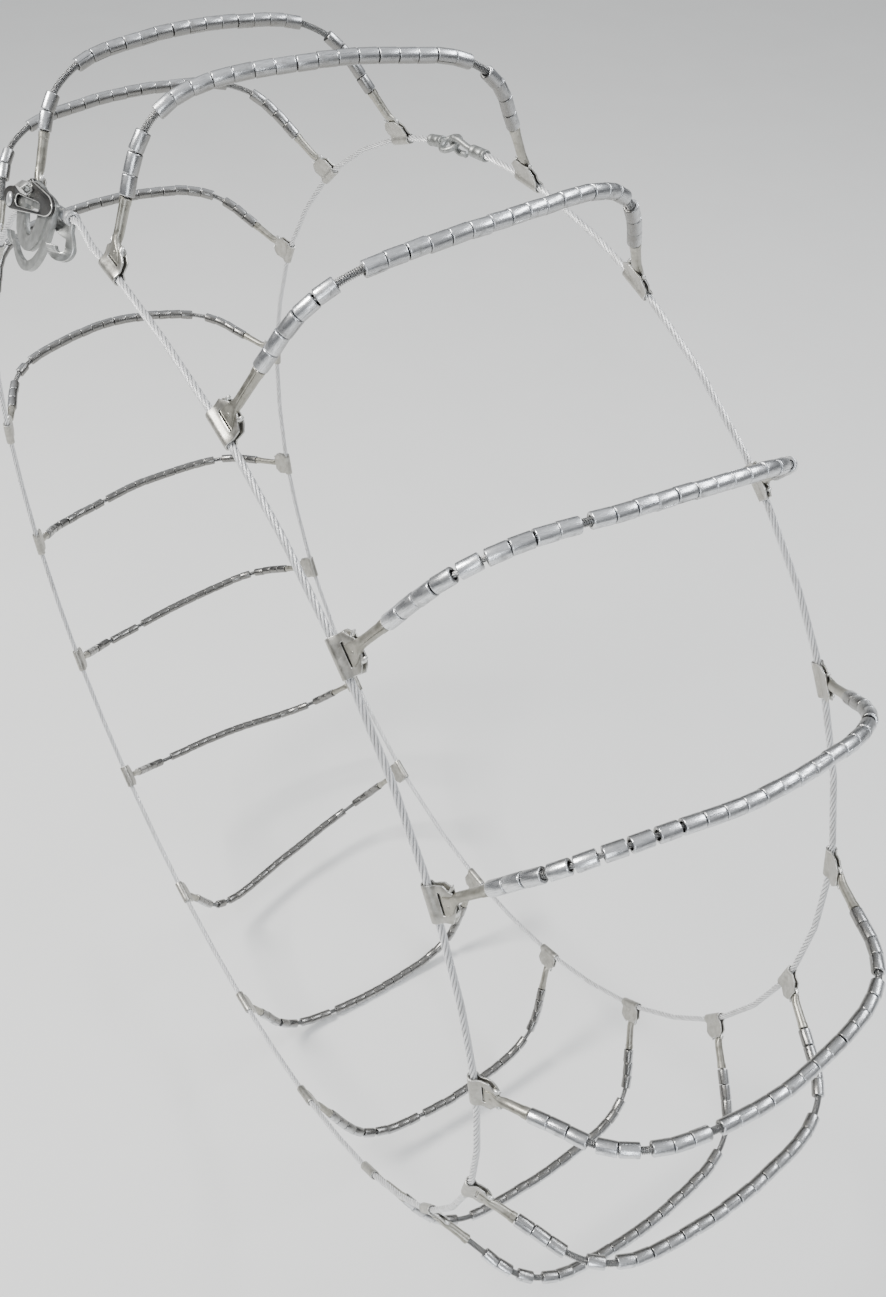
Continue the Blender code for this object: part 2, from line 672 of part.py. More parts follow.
def build_inner_joint():
    """The hook and the eye, each crimped on its end of the inner side cable."""
    frame = side_frame(math.radians(INNER_JOINT_ANGLE), 1)
    cable_end = INNER_END_ARC - INNER_GAP + 2 * CLEARANCE
    for name, sign, wire in (("inner_hook", -1, hook_wire()), ("inner_eye", 1, eye_ring())):
        local = frame.inverted() @ side_frame(inner_arc(-sign * INNER_END_ARC), 1)
        places = (-INNER_HALF, INNER_HALF, 2 * INNER_HALF, -cable_end)
        inner, outer, mouth, floor = (local @ Vector((sign * x, 0, 0)) for x in places)
        shank_radius, shank_end = INNER_SHANK
        steps = [
            ("UNION", cylinder(inner, (sign * shank_end, 0, 0), (shank_radius,) * 2)),
            ("UNION", wire),
            ("DIFFERENCE", cable_bore(floor, mouth)),
        ]
        mesh = combined(name, cylinder(inner, outer, (FERRULE_RADIUS,) * 2, 12), steps)
        shade(add_object(name, mesh, chain, light_casting, frame))


clear_scene()
chain = new_collection("tire_snow_chains")
scratch = new_collection("cutters")
zinc = metal("zinc_plate", ZINC, 0.45)
bright_steel = metal("bright_steel", BRIGHT_STEEL, 0.28)
dark_steel = metal("dark_steel", DARK_STEEL, 0.5)
light_casting = metal("light_casting", LIGHT_CASTING, 0.6)
member_paths = [MemberPath(index) for index in range(MEMBER_COUNT)]
for number, member in enumerate(member_paths):
    build_member(number, member)
    clamp_name = f"outer_clamp_{number + 1:02d}"
    clamp = clamp_mesh(clamp_name, number, member, -1)
    shade(add_object(clamp_name, clamp, chain, zinc))
for number, place in enumerate(DETAILED_SLEEVES):
    build_sleeve(number + 1, member_paths[DETAILED_MEMBER - 1], place / 1000)
build_outer_side(member_paths)
build_inner_side(member_paths)
build_inner_joint()
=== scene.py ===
"""The looks of the tire snow chains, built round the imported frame.

Metres, in the frame's own axes: the tire's centre is the origin, Y is the axle, and the outer side is
at -Y. Angles go from +Z towards +X. Places along a cross member start at its outer side cable.
"""

import json
import math

import bmesh
import bpy
import numpy as np
from mathutils import Matrix, Vector

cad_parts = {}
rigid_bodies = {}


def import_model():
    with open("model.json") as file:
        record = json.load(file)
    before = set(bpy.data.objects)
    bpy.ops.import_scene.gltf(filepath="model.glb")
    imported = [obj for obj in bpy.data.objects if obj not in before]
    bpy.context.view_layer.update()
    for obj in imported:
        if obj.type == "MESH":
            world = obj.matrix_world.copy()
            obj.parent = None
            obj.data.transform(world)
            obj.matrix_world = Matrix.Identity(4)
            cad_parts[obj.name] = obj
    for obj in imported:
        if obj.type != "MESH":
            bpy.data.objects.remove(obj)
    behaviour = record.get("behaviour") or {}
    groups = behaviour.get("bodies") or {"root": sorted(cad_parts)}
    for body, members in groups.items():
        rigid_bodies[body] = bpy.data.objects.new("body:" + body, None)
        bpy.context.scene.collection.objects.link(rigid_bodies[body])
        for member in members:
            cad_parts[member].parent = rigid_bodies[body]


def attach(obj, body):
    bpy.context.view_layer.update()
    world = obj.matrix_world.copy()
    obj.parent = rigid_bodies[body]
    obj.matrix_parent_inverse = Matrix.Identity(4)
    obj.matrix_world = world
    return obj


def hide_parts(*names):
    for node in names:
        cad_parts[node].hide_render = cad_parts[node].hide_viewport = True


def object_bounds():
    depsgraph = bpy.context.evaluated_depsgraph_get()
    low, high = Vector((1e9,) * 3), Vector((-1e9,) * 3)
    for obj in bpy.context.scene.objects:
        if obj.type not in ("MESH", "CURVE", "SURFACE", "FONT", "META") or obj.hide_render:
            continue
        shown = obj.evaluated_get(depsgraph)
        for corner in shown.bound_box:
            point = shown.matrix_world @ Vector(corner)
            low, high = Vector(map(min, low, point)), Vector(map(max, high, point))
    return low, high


# Layout of the chain, as in the CAD
MEMBER_COUNT = 18
FIRST_ANGLE = -18.6
HALF_PROFILE = (
    (0.4286, 0.1549), (0.4796, 0.1307), (0.5013, 0.1193), (0.5165, 0.1045),
    (0.5281, 0.0792), (0.5336, 0.0394), (0.5357, 0.0),
)
CLIMB, CLIMB_ANGLE, CLIMB_WIDTH = 0.0172, -20.0, 18.5
STRAIGHT_HALF = math.radians(2.4)
SLEEVE_LENGTH = 0.0127
SLEEVE_PITCH = 0.0130
SLEEVE_GAP = 0.0003
SLEEVE_RADIUS = 0.0048
SLEEVE_BORE = 0.0029
SEAM_HALF_WIDTH = math.radians(3.2)
SEAM_DEPTH = 0.00042
GROUPS = (
    ((65.5, 2), (118.6, 14), (324.0, 4)),
    ((50.0, 3), (101.7, 16), (324.0, 4)),
    ((48.3, 5), (129.0, 15), (336.0, 3)),
    ((42.5, 4), (97.0, 1), (112.4, 4), (170.7, 11), (324.0, 4)),
    ((45.0, 3), (202.6, 9), (324.0, 4)),
    ((38.5, 3), (82.0, 2), (114.4, 3), (161.0, 12), (324.0, 4)),
    ((38.5, 3), (92.4, 1), (113.8, 15), (324.0, 4)),
    ((57.0, 2), (89.0, 1), (110.0, 15), (324.0, 4)),
)
GROUPS_OF_MEMBER = (0, 1, 2, 3, 4, 5, 6, 7, 2, 3, 5, 6, 2, 5, 3, 6, 2, 0)
DETAILED_MEMBER = 5
DETAILED_SLEEVES = (87.2, 102.2, 117.8, 132.6, 148.3, 163.2, 176.4, 189.4)
# How far each member leans round the tire, in degrees, at quarters of its path
SLANTS = (
    (-0.2, -0.7, -1.3, -1.2, -0.4),
    (0.4, -0.8, 1.7, 3.6, 2.8),
    (0.8, 0.9, 1.0, -0.1, -0.1),
    (0.7, -0.8, 0.1, 1.0, 1.0),
    (0.6, -2.8, -1.9, -1.4, -0.5),
    (0.2, 0.4, 1.6, 0.5, -0.3),
    (-0.7, -0.4, 0.1, 0.1, -0.1),
    (-0.3, -0.6, -0.5, -0.2, 0.0),
    (0.0, 0.5, 0.8, 0.4, 0.0),
    (0.2, -0.4, -0.8, -0.5, 0.0),
)
CORE_START = 0.030
SHORTEST_SOCKET = 0.0400
LONGEST_SOCKET = 0.0500
SOCKET_GAP = 0.0006

# The clamp's template: its sheet, where it starts to bend to the core and over what length, where its
# neck is round, the length of the collar at its mouth, and its mouth
SHEET_THICKNESS = 0.0011
BEND_START = 0.0130
BEND_LENGTH = 0.0070
NECK_END = 0.0250
COLLAR_LENGTH = 0.0040
TEMPLATE_END = 0.0420

# Outer fastener and inner joint, as in the CAD
FASTENER_ANGLE = -14.5
RIGHT_CABLE_END = 0.0215
STRAIGHT_END = 0.0680
JOINED_ARC = 0.0860
ANCHOR_ARC = -0.0620
TAIL_ARC = -0.0125
INNER_JOINT_ANGLE = -8.0
INNER_END_ARC = 0.0290
INNER_GAP = 0.0240

# Fastener, in the frame of the right cable end: x along the cable, y to the tread, z outwards
CAM_AT = (-0.0085, 0.008)
CAM_LEVELS = (0.0056, 0.0092)
CAM_RADIUS = 0.0500
CAM_DROP = 0.004
CAM_HUB = 0.0070
CAM_TRAVEL = 120.0
CAM_SLOT_HALF = 0.0034
CAM_ARM_END = -131.0
CAM_WINDOW = (0.0165, 0.0267)
CAM_OPENING = (0.0435, 0.0100, 60.0)
COLLAR_RADIUS = 0.0045
LEVER_TUBE = (-0.004, 0.011)
LEVER_SIDE = 0.0064
LEVER_SOCKET = 0.0042
LEVER_LEVEL = 0.0172
LINK_LEVELS = (0.0095, 0.0125)
LINK_LEFT = ((-0.0460, -0.0035), (0.0270, 0.0083))
LINK_RIGHT = ((0.0250, 0.0030), (0.0220, 0.0078))
WINDOW_LEFT = ((-0.0330, -0.0029), (0.0075, 0.0039))
WINDOW_RIGHT = ((0.0150, -0.0006), (0.0060, 0.0028))
LINK_HUB = 0.0072
HOLE_PLAY = 0.0004
PIN_X = 0.0310
PIN_DRAW = 0.0060
PIN_RADIUS = 0.0030
FERRULE_RADIUS = 0.0045
TAKE_UP_ENDS = (-0.0040, 0.0560)
BLADE_ENDS = (0.0120, 0.0030)
ANCHOR_HALF = 0.0165
RIVET_AT = -0.0500
RIVET_RADII = (0.0026, 0.0050)
RIVET_HEAD = 0.0022
HOOK_BEND = (-0.0090, -0.0190)
HOOK_RADII = (0.0095, 0.0036)
HOOK_ROOT = 0.0020
HOOK_TWIST_SPAN = (0.0080, 0.0180)
HOOK_THICKNESS = 0.0030
HOOK_TWIST = 48.0
HOOK_SET = 0.0045
INNER_HALF = 0.0090
INNER_SHANK = (0.0030, 0.0172)
INNER_HOOK_BEND = 0.0070
INNER_HOOK_WIRE = 0.0023
INNER_EYE_AT = 0.0100
INNER_EYE_RADIUS = 0.0080
INNER_EYE_WIRE = 0.0022

# Wire ropes: lay length of the strands, how finely they are drawn, and the fine wires of a strand
CABLE_RADIUS = 0.0025
CABLE_LAY = 0.034
CABLE_STEP = 0.0020
CORE_RADIUS = 0.0017
CORE_LAY = 0.022
CORE_STEP = 0.0022
STRANDS = 6
FINE_WIRES = 8
FINE_WIRE_LAY = 0.0022
CORNER = 0.008

# How far a loose sleeve leans from the core's line and stands off it
SLEEVE_LEAN = 0.018
SLEEVE_SHIFT = 0.00016

# Springs on the cores between the sleeve groups
SPRING_WIRE = 0.0004
SPRING_RADIUS = 0.0025
SPRING_PITCH = 0.00125
SHORTEST_SPRING = 0.0035
SPRING_OVERLAP = 0.0010

# Camera and floor
CAMERA_AT = (0.7270, -0.3784, 0.7720)
CAMERA_RIGHT = (0.55126, 0.83433, 0.0)
CAMERA_FORWARD = (-0.61641, 0.40728, -0.67392)
CAMERA_LENS = 34.061
FLOOR_HALF = 9.0
FLOOR_GAP = 0.0005


# ---------------- meshes

def lengths_along(points):
    """Distance from the first point to each of them, along the line."""
    return np.concatenate([[0], np.cumsum(np.linalg.norm(np.diff(points, axis=0), axis=1))])


def unit(vectors):
    return vectors / np.linalg.norm(vectors, axis=-1, keepdims=True)


class Skin:
    """The vertices, faces, texture places and tones of one mesh, gathered part by part."""

    def __init__(self):
        self.points, self.faces, self.places, self.tones = [], [], [], []
        self.count = 0

    def add(self, rings, tone=0.5, capped=True, closed=False):
        """A skin over rings of points, each counter-clockwise about the direction of travel."""
        rows, columns = rings.shape[:2]
        spans = rows if closed else rows - 1
        along = lengths_along(np.vstack([rings.mean(1), rings[:1].mean(1)]))
        row, column = np.meshgrid(np.arange(spans), np.arange(columns), indexing="ij")
        corners = [(row, column), (row, column + 1), (row + 1, column + 1), (row + 1, column)]
        quads = [(i % rows) * columns + j % columns + self.count for i, j in corners]
        self.faces += np.stack(quads, -1).reshape(-1, 4).tolist()
        self.places.append(np.stack([np.stack([j / columns, along[i]], -1) for i, j in corners], -2).ravel())
        if capped and not closed:
            first = np.arange(columns) + self.count
            self.faces += [first[::-1].tolist(), (first + (rows - 1) * columns).tolist()]
            self.places.append(np.zeros(4 * columns))
        self.points.append(rings.reshape(-1, 3))
        self.tones.append(np.broadcast_to(tone, (rows, columns)).ravel())
        self.count += rows * columns

    def mesh(self, name):
        mesh = bpy.data.meshes.new(name)
        mesh.from_pydata(np.vstack(self.points), [], self.faces)
        mesh.uv_layers.new(name="place").data.foreach_set("uv", np.concatenate(self.places))
        tones = mesh.attributes.new("tone", "FLOAT", "POINT")
        tones.data.foreach_set("value", np.concatenate(self.tones))
        mesh.shade_smooth()
        mesh.set_sharp_from_angle(angle=math.radians(40))
        return mesh


def sweep(points, radii, sides, reference):
    """Rings of points round a line, with their first point towards the reference direction."""
    points = np.asarray(points, float)
    along = unit(np.gradient(points, axis=0))
    reference = np.broadcast_to(reference, points.shape)
    first = unit(reference - (reference * along).sum(-1, keepdims=True) * along)
    second = np.cross(along, first)
    angles = np.linspace(0, 2 * math.pi, sides, endpoint=False)
    offsets = np.cos(angles)[:, None] * first[:, None] + np.sin(angles)[:, None] * second[:, None]
    radii = np.broadcast_to(radii, len(points))
    return points[:, None] + radii[:, None, None] * offsets


def rope(skin, points, radius, lay, reference, sides, random):
    """Six round strands laid in a helix round a straight one, with painted shade in the valleys between them.
    """
    strand = radius / 3
    along = unit(np.gradient(points, axis=0))
    first = unit(reference - (reference * along).sum(-1, keepdims=True) * along)
    second = np.cross(along, first)
    turns = 2 * math.pi * lengths_along(points) / lay
    for number in range(STRANDS):
        turn = (turns + 2 * math.pi * number / STRANDS)[:, None]
        line = points + 2 * strand * (np.cos(turn) * first + np.sin(turn) * second)
        rings = sweep(line, strand, sides, first)
        # Painted shade: each strand darkens from its crest towards the valleys between the strands.
        painted_crest_light = np.clip((np.linalg.norm(rings - points[:, None], axis=-1) / radius - 0.62) / 0.30, 0, 1)
        skin.add(rings, random.uniform(0.75, 1.0) * painted_crest_light)
    # Painted shade: the straight middle strand is made dark, as it lies in the shade of the others.
    skin.add(sweep(points, strand * 1.15, sides, first), 0.2)


def new_object(name, data):
    made = bpy.data.objects.new(name, data)
    bpy.context.scene.collection.objects.link(made)
    return made


def place_piece(name, mesh, materials, body, node, slot):
    """An object that rides on a body and stands for a CAD node."""
    piece = new_object(name, mesh)
    indices = np.zeros(len(mesh.polygons), np.int32)
    mesh.polygons.foreach_get("material_index", indices)
    mesh.materials.clear()
    for material in materials:
        mesh.materials.append(material)
    mesh.polygons.foreach_set("material_index", indices)
    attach(piece, body)
    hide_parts(node)


# ---------------- paths

def smooth_through(points, steps):
    """A Catmull-Rom curve through the points."""
    points = np.array(points, float)
    ends = np.vstack([2 * points[0] - points[1], points, 2 * points[-1] - points[-2]])
    found = []
    for a, b, c, d in zip(ends, ends[1:], ends[2:], ends[3:]):
        for t in np.linspace(0, 1, steps, endpoint=False):
            found.append(0.5 * (2 * b + (c - a) * t + (2 * a - 5 * b + 4 * c - d) * t**2
                                + (3 * b - 3 * c + d - a) * t**3))
    return np.vstack([found, points[-1]])


def whole_profile():
    """Radius and axial place from the outer side cable over the tread to the inner one."""
    outer = [(radius, -axial) for radius, axial in HALF_PROFILE]
    return smooth_through(outer + [(radius, -axial) for radius, axial in outer[-2::-1]], 12)


def on_wheel(radius, angle, axial):
    return Vector((radius * math.sin(angle), axial, radius * math.cos(angle)))


class MemberPath:
    """The centre line of one cross member; at(s) is the point s metres along it."""

    def __init__(self, index):
        profile = whole_profile()
        share = lengths_along(profile) / lengths_along(profile)[-1]
        slants = smooth_through([[slant] for slant in SLANTS[index % len(SLANTS)]], 12)[:, 0]
        lean = np.interp(share, np.linspace(0, 1, len(slants)), slants)
        angles = np.radians(FIRST_ANGLE + 360 / MEMBER_COUNT * index + lean)
        self.points = np.array([on_wheel(r, a, y) for (r, y), a in zip(profile, angles)])
        self.along = lengths_along(self.points)
        self.length = self.along[-1]
        self.clamp_angles = (angles[0], angles[-1])
        self.start = climb_at(angles[0], -1)
        self.round = np.array((math.cos(angles[0]), 0, -math.sin(angles[0])))

    def at(self, s):
        """Points at one place or at several."""
        return np.stack([np.interp(s, self.along, self.points[:, axis]) for axis in range(3)], -1)


def climb_at(angle, side):
    """How far up the sidewall the side cable stands; only the outer one is pulled up."""
    if side > 0:
        return 0.0
    off = (math.degrees(angle) - CLIMB_ANGLE + 180) % 360 - 180
    return CLIMB * math.exp(-((off / CLIMB_WIDTH) ** 2))


def sidewall(angle, side):
    """Unit vector up the sidewall to the tread."""
    (radius, axial), (next_radius, next_axial) = HALF_PROFILE[:2]
    return on_wheel(next_radius - radius, angle, side * (next_axial - axial)).normalized()


def ring_point(angle, side):
    """A point of a side cable; straight stretches between such points touch the cable's radius."""
    radius, axial = HALF_PROFILE[0]
    base = on_wheel(radius / math.cos(STRAIGHT_HALF), angle, side * axial)
    return base + sidewall(angle, side) * climb_at(angle, side)


def ring_route(clamp_angles, side, start, end):
    """Cable points from start to end angle, with a straight stretch through each clamp."""
    step = 2 * math.pi / MEMBER_COUNT
    angles = [start, end]
    for angle in clamp_angles:
        for extra in (-STRAIGHT_HALF, STRAIGHT_HALF, step / 2):
            turned = angle + extra
            angles += [turned + turn for turn in (-2 * math.pi, 0, 2 * math.pi)]
    inside = sorted(a for a in angles if start <= a <= end)
    return [ring_point(a, side) for a in inside]


def side_frame(angle, side):
    """Axes at a side cable: x round the wheel, y towards the tread, z away from the tire."""
    before, after = ring_point(angle - STRAIGHT_HALF, side), ring_point(angle + STRAIGHT_HALF, side)
    along = (before - after if side > 0 else after - before).normalized()
    climb = sidewall(angle, side)
    outwards = along.cross(climb).normalized()
    climb = outwards.cross(along)
    turn = Matrix((along, climb, outwards)).transposed().to_4x4()
    return Matrix.Translation((before + after) / 2) @ turn


def rounded_route(route, step):
    """The route with its corners rounded, as points one step apart."""
    route = np.array(route, float)
    before = route[0] + unit(route[0] - route[1]) * 2 * CORNER
    after = route[-1] + unit(route[-1] - route[-2]) * 2 * CORNER
    longer = np.vstack([before, route, after])
    along = lengths_along(longer)
    fine = np.arange(0, along[-1], step / 4)
    points = np.stack([np.interp(fine, along, longer[:, axis]) for axis in range(3)], -1)
    width = 2 * round(CORNER / step * 4 / 2) + 1
    kernel = np.ones(width) / width
    smooth = np.stack([np.convolve(points[:, axis], kernel, "same") for axis in range(3)], -1)
    inside = (fine >= 2 * CORNER) & (fine <= along[-1] - 2 * CORNER)
    return smooth[inside][::4]


# ---------------- materials

def node(tree, kind, inputs=None, **settings):
    """A shader node with its settings, and its inputs linked or set."""
    made = tree.nodes.new(kind)
    for key, value in settings.items():
        setattr(made, key, value)
    for key, value in (inputs or {}).items():
        if isinstance(value, bpy.types.NodeSocket):
            tree.links.new(value, made.inputs[key])
        else:
            made.inputs[key].default_value = value
    return made


def spread(tree, value, low, high, out_low=0.0, out_high=1.0):
    """The value mapped from one range to another."""
    inputs = {"Value": value, "From Min": low, "From Max": high, "To Min": out_low, "To Max": out_high}
    return node(tree, "ShaderNodeMapRange", inputs).outputs[0]


def mixed(tree, share, first, second):
    """A colour between two others."""
    made = tree.nodes.new("ShaderNodeMix")
    made.data_type = "RGBA"
    for index, value in ((0, share), (6, first), (7, second)):
        if isinstance(value, bpy.types.NodeSocket):
            tree.links.new(value, made.inputs[index])
        else:
            made.inputs[index].default_value = value if index == 0 else (*value, 1.0)
    return made.outputs[2]


def combine(tree, operation, first, second):
    return node(tree, "ShaderNodeMath", {0: first, 1: second}, operation=operation).outputs[0]


def noise(tree, vector, scale, detail=3.0, roughness=0.55):
    inputs = {"Vector": vector, "Scale": scale, "Detail": detail, "Roughness": roughness}
    return node(tree, "ShaderNodeTexNoise", inputs).outputs["Fac"]


def stretched(tree, vector, scale):
    return node(tree, "ShaderNodeMapping", {"Vector": vector, "Scale": scale}).outputs[0]


def new_surface(name, metallic):
    """A material with a Principled shader: (material, tree, shader, object coordinates, texture places)."""
    material = bpy.data.materials.new(name)
    material.use_nodes = True
    tree = material.node_tree
    shader = tree.nodes["Principled BSDF"]
    shader.inputs["Metallic"].default_value = metallic
    coordinates = tree.nodes.new("ShaderNodeTexCoord")
    return material, tree, shader, coordinates.outputs["Object"], coordinates.outputs["UV"]


def finish_surface(tree, shader, colour, roughness, height, strength, distance):
    tree.links.new(colour, shader.inputs["Base Color"])
    tree.links.new(roughness, shader.inputs["Roughness"])
    bump = node(tree, "ShaderNodeBump", {"Height": height, "Strength": strength, "Distance": distance})
    tree.links.new(bump.outputs["Normal"], shader.inputs["Normal"])


def sleeve_steel():
    """Bright zinc-plated tube: lengthwise drawing lines, scuffs, and dirt in spots; the tone attribute brings
    random tone and painted shade.
    """
    material, tree, shader, place, around = new_surface("sleeve_steel", 1.0)
    tone = node(tree, "ShaderNodeAttribute", attribute_name="tone").outputs["Fac"]
    lines = noise(tree, stretched(tree, around, (22.0, 60.0, 1.0)), 3.0, 4.0)
    scuffs = noise(tree, place, 520.0, 5.0, 0.7)
    spots = noise(tree, place, 130.0, 4.0, 0.65)
    # Painted shade: by the tone attribute the colour falls to a dark brown-grey on each sleeve's tire side.
    painted_shading = mixed(tree, spread(tree, tone, 0.0, 1.0), (0.20, 0.192, 0.178), (0.92, 0.935, 0.96))
    lined = mixed(tree, spread(tree, lines, 0.42, 0.68, 0.0, 0.60), painted_shading, (0.27, 0.275, 0.285))
    dirty = mixed(tree, spread(tree, spots, 0.56, 0.74, 0.0, 0.75), lined, (0.20, 0.19, 0.175))
    drawn = spread(tree, lines, 0.3, 0.7, 0.17, 0.33)
    rough = combine(tree, "ADD", drawn, spread(tree, spots, 0.5, 0.75, 0.0, 0.22))
    height = combine(tree, "ADD", lines, combine(tree, "MULTIPLY", scuffs, 0.8))
    finish_surface(tree, shader, dirty, rough, height, 0.35, 0.00025)
    return material


def rope_steel(name, bright, dark, metallic):
    """Galvanised strands with their fine wires, and dull patches; painted shade in the strand valleys and the
    fine wires' grooves.
    """
    material, tree, shader, place, around = new_surface(name, metallic)
    tone = node(tree, "ShaderNodeAttribute", attribute_name="tone").outputs["Fac"]
    split = node(tree, "ShaderNodeSeparateXYZ", {"Vector": around})
    turns = combine(tree, "MULTIPLY", split.outputs[0], FINE_WIRES * 2 * math.pi)
    climb = combine(tree, "MULTIPLY", split.outputs[1], 2 * math.pi / FINE_WIRE_LAY)
    wires = combine(tree, "SINE", combine(tree, "SUBTRACT", turns, climb), 0.0)
    patches = noise(tree, place, 75.0, 4.0, 0.6)
    # Painted shade: the dark colour is where the tone attribute marks the valleys between strands.
    colour = mixed(tree, spread(tree, tone, 0.0, 1.0), dark, bright)
    dulled = mixed(tree, spread(tree, patches, 0.52, 0.74, 0.0, 0.50), colour, (0.42, 0.41, 0.39))
    # Painted shade: darker in the grooves between the fine wires.
    grooved = mixed(tree, spread(tree, wires, -1.0, -0.2, 0.45, 0.0), dulled, (0.20, 0.195, 0.19))
    rough = spread(tree, patches, 0.3, 0.7, 0.24, 0.46)
    finish_surface(tree, shader, grooved, rough, wires, 0.55, 0.00012)
    return material


def plated(name, colour, darker, roughness, metallic=0.92):
    """Matte zinc plate with a mottled bloom, small dents and fine scratches."""
    material, tree, shader, place, _ = new_surface(name, metallic)
    bloom = noise(tree, place, 190.0, 5.0, 0.62)
    large = noise(tree, place, 38.0, 3.0, 0.5)
    specks = noise(tree, place, 900.0, 2.0, 0.5)
    scratches = noise(tree, stretched(tree, place, (1.0, 0.12, 0.35)), 700.0, 3.0, 0.6)
    base = mixed(tree, spread(tree, bloom, 0.34, 0.68), darker, colour)
    shaded = mixed(tree, spread(tree, large, 0.35, 0.7, 0.0, 0.45), base, darker)
    scratch_colour = tuple(1.5 * channel for channel in colour)
    scored = mixed(tree, spread(tree, scratches, 0.62, 0.75, 0.0, 0.5), shaded, scratch_colour)
    grain = combine(tree, "ADD", bloom, combine(tree, "MULTIPLY", specks, 0.3))
    rough = spread(tree, grain, 0.4, 0.9, *roughness)
    height = combine(tree, "ADD", bloom, combine(tree, "MULTIPLY", specks, 0.35))
    finish_surface(tree, shader, scored, rough, height, 0.30, 0.0004)
    return material


def black_oxide():
    """Dark oxide on the link plate: satin, dusty in patches, and rubbed through in scratches."""
    material, tree, shader, place, _ = new_surface("black_oxide", 0.75)
    dust = noise(tree, place, 85.0, 5.0, 0.65)
    rub = noise(tree, stretched(tree, place, (1.0, 1.0, 5.0)), 240.0, 4.0, 0.6)
    base = mixed(tree, spread(tree, dust, 0.38, 0.72), (0.020, 0.020, 0.021), (0.062, 0.059, 0.055))
    rubbed = mixed(tree, spread(tree, rub, 0.64, 0.80, 0.0, 0.4), base, (0.16, 0.16, 0.155))
    finish_surface(tree, shader, rubbed, spread(tree, dust, 0.3, 0.7, 0.34, 0.58), rub, 0.35, 0.0004)
    return material


# ---------------- cross members

def sleeve_profile():
    """(radius, place) round the wall of a sleeve, from its low outer edge upwards and back inside."""
    half, edge, inner_edge = SLEEVE_LENGTH / 2, 0.0008, 0.0003
    turns = np.radians(np.linspace(0, 90, 5))
    low = [(SLEEVE_RADIUS - edge + edge * math.sin(a), -half + edge - edge * math.cos(a)) for a in turns]
    high = [(radius, -place) for radius, place in low[::-1]]
    inside = [(SLEEVE_BORE + inner_edge, half), (SLEEVE_BORE, half - inner_edge)]
    return np.array(low + high + inside + [(radius, -place) for radius, place in inside[::-1]])


def sleeve_rings():
    """A sleeve about z with a lengthwise seam, as rings of points along its wall's profile."""
    seam = SEAM_HALF_WIDTH
    plain = np.linspace(3 * seam, 2 * math.pi - 3 * seam, 28)
    angles = np.concatenate([[0, seam], plain, [2 * math.pi - seam]])
    profile = sleeve_profile()
    depth = np.where(profile[:, 0] > SLEEVE_RADIUS - 0.001, SEAM_DEPTH, 0.0)
    radii = profile[:, :1] - depth[:, None] * (np.arange(len(angles)) == 0)
    height = np.broadcast_to(profile[:, 1:], radii.shape)
    return np.stack([radii * np.cos(angles), radii * np.sin(angles), height], -1)


def turned_to(axis, centre, roll):
    place = Matrix.Translation(Vector(centre)) @ Vector(axis).to_track_quat("Z", "Y").to_matrix().to_4x4()
    return place @ Matrix.Rotation(roll, 4, "Z")


def moved(rings, matrix):
    matrix = np.array(matrix)
    return rings @ matrix[:3, :3].T + matrix[:3, 3]


def add_sleeve(skin, path, start, random, loose):
    """A sleeve, with painted shade on the tire's side, that hangs off the core's line as far as it is loose.
    """
    begin, finish = path.at(start), path.at(start + SLEEVE_LENGTH)
    axis = unit(finish - begin) + random.normal(0, SLEEVE_LEAN, 3) * loose
    centre = (begin + finish) / 2 + random.normal(0, SLEEVE_SHIFT, 3) * loose
    rings = moved(sleeve_rings(), turned_to(axis, centre, random.uniform(0, 2 * math.pi)))
    # Painted shade: each sleeve darkens from its outer side towards its side on the tire.
    height = (rings - centre) @ unit(np.cross(path.round, axis)) / SLEEVE_RADIUS
    painted_shading = np.clip(0.46 + 0.80 * height, 0.04, 1.0)
    skin.add(rings, random.uniform(0.70, 1.0) * painted_shading, closed=True)


def add_spring(skin, path, first, last):
    """A tight coil spring round the core between two sleeve groups."""
    turns = 2 * math.pi * np.arange(0, (last - first) / SPRING_PITCH, 1 / 12)
    s = first + turns * SPRING_PITCH / (2 * math.pi)
    centre = path.at(s)
    along = unit(np.gradient(centre, axis=0))
    side = unit(path.round - (path.round * along).sum(-1, keepdims=True) * along)
    up = np.cross(along, side)
    radius = SPRING_RADIUS - SPRING_WIRE
    line = centre + radius * (np.cos(turns)[:, None] * side + np.sin(turns)[:, None] * up)
    skin.add(sweep(line, SPRING_WIRE, 7, along), 0.6)


def groups_of(index):
    """The sleeve groups of a member: where each starts, in millimetres, and how many sleeves it has."""
    return GROUPS[GROUPS_OF_MEMBER[index]]


def group_spans(index):
    """Start and end of each sleeve group of a member, in metres."""
    spans = []
    for start, count in groups_of(index):
        spans.append((start / 1000, start / 1000 + count * SLEEVE_PITCH - SLEEVE_GAP))
    return spans


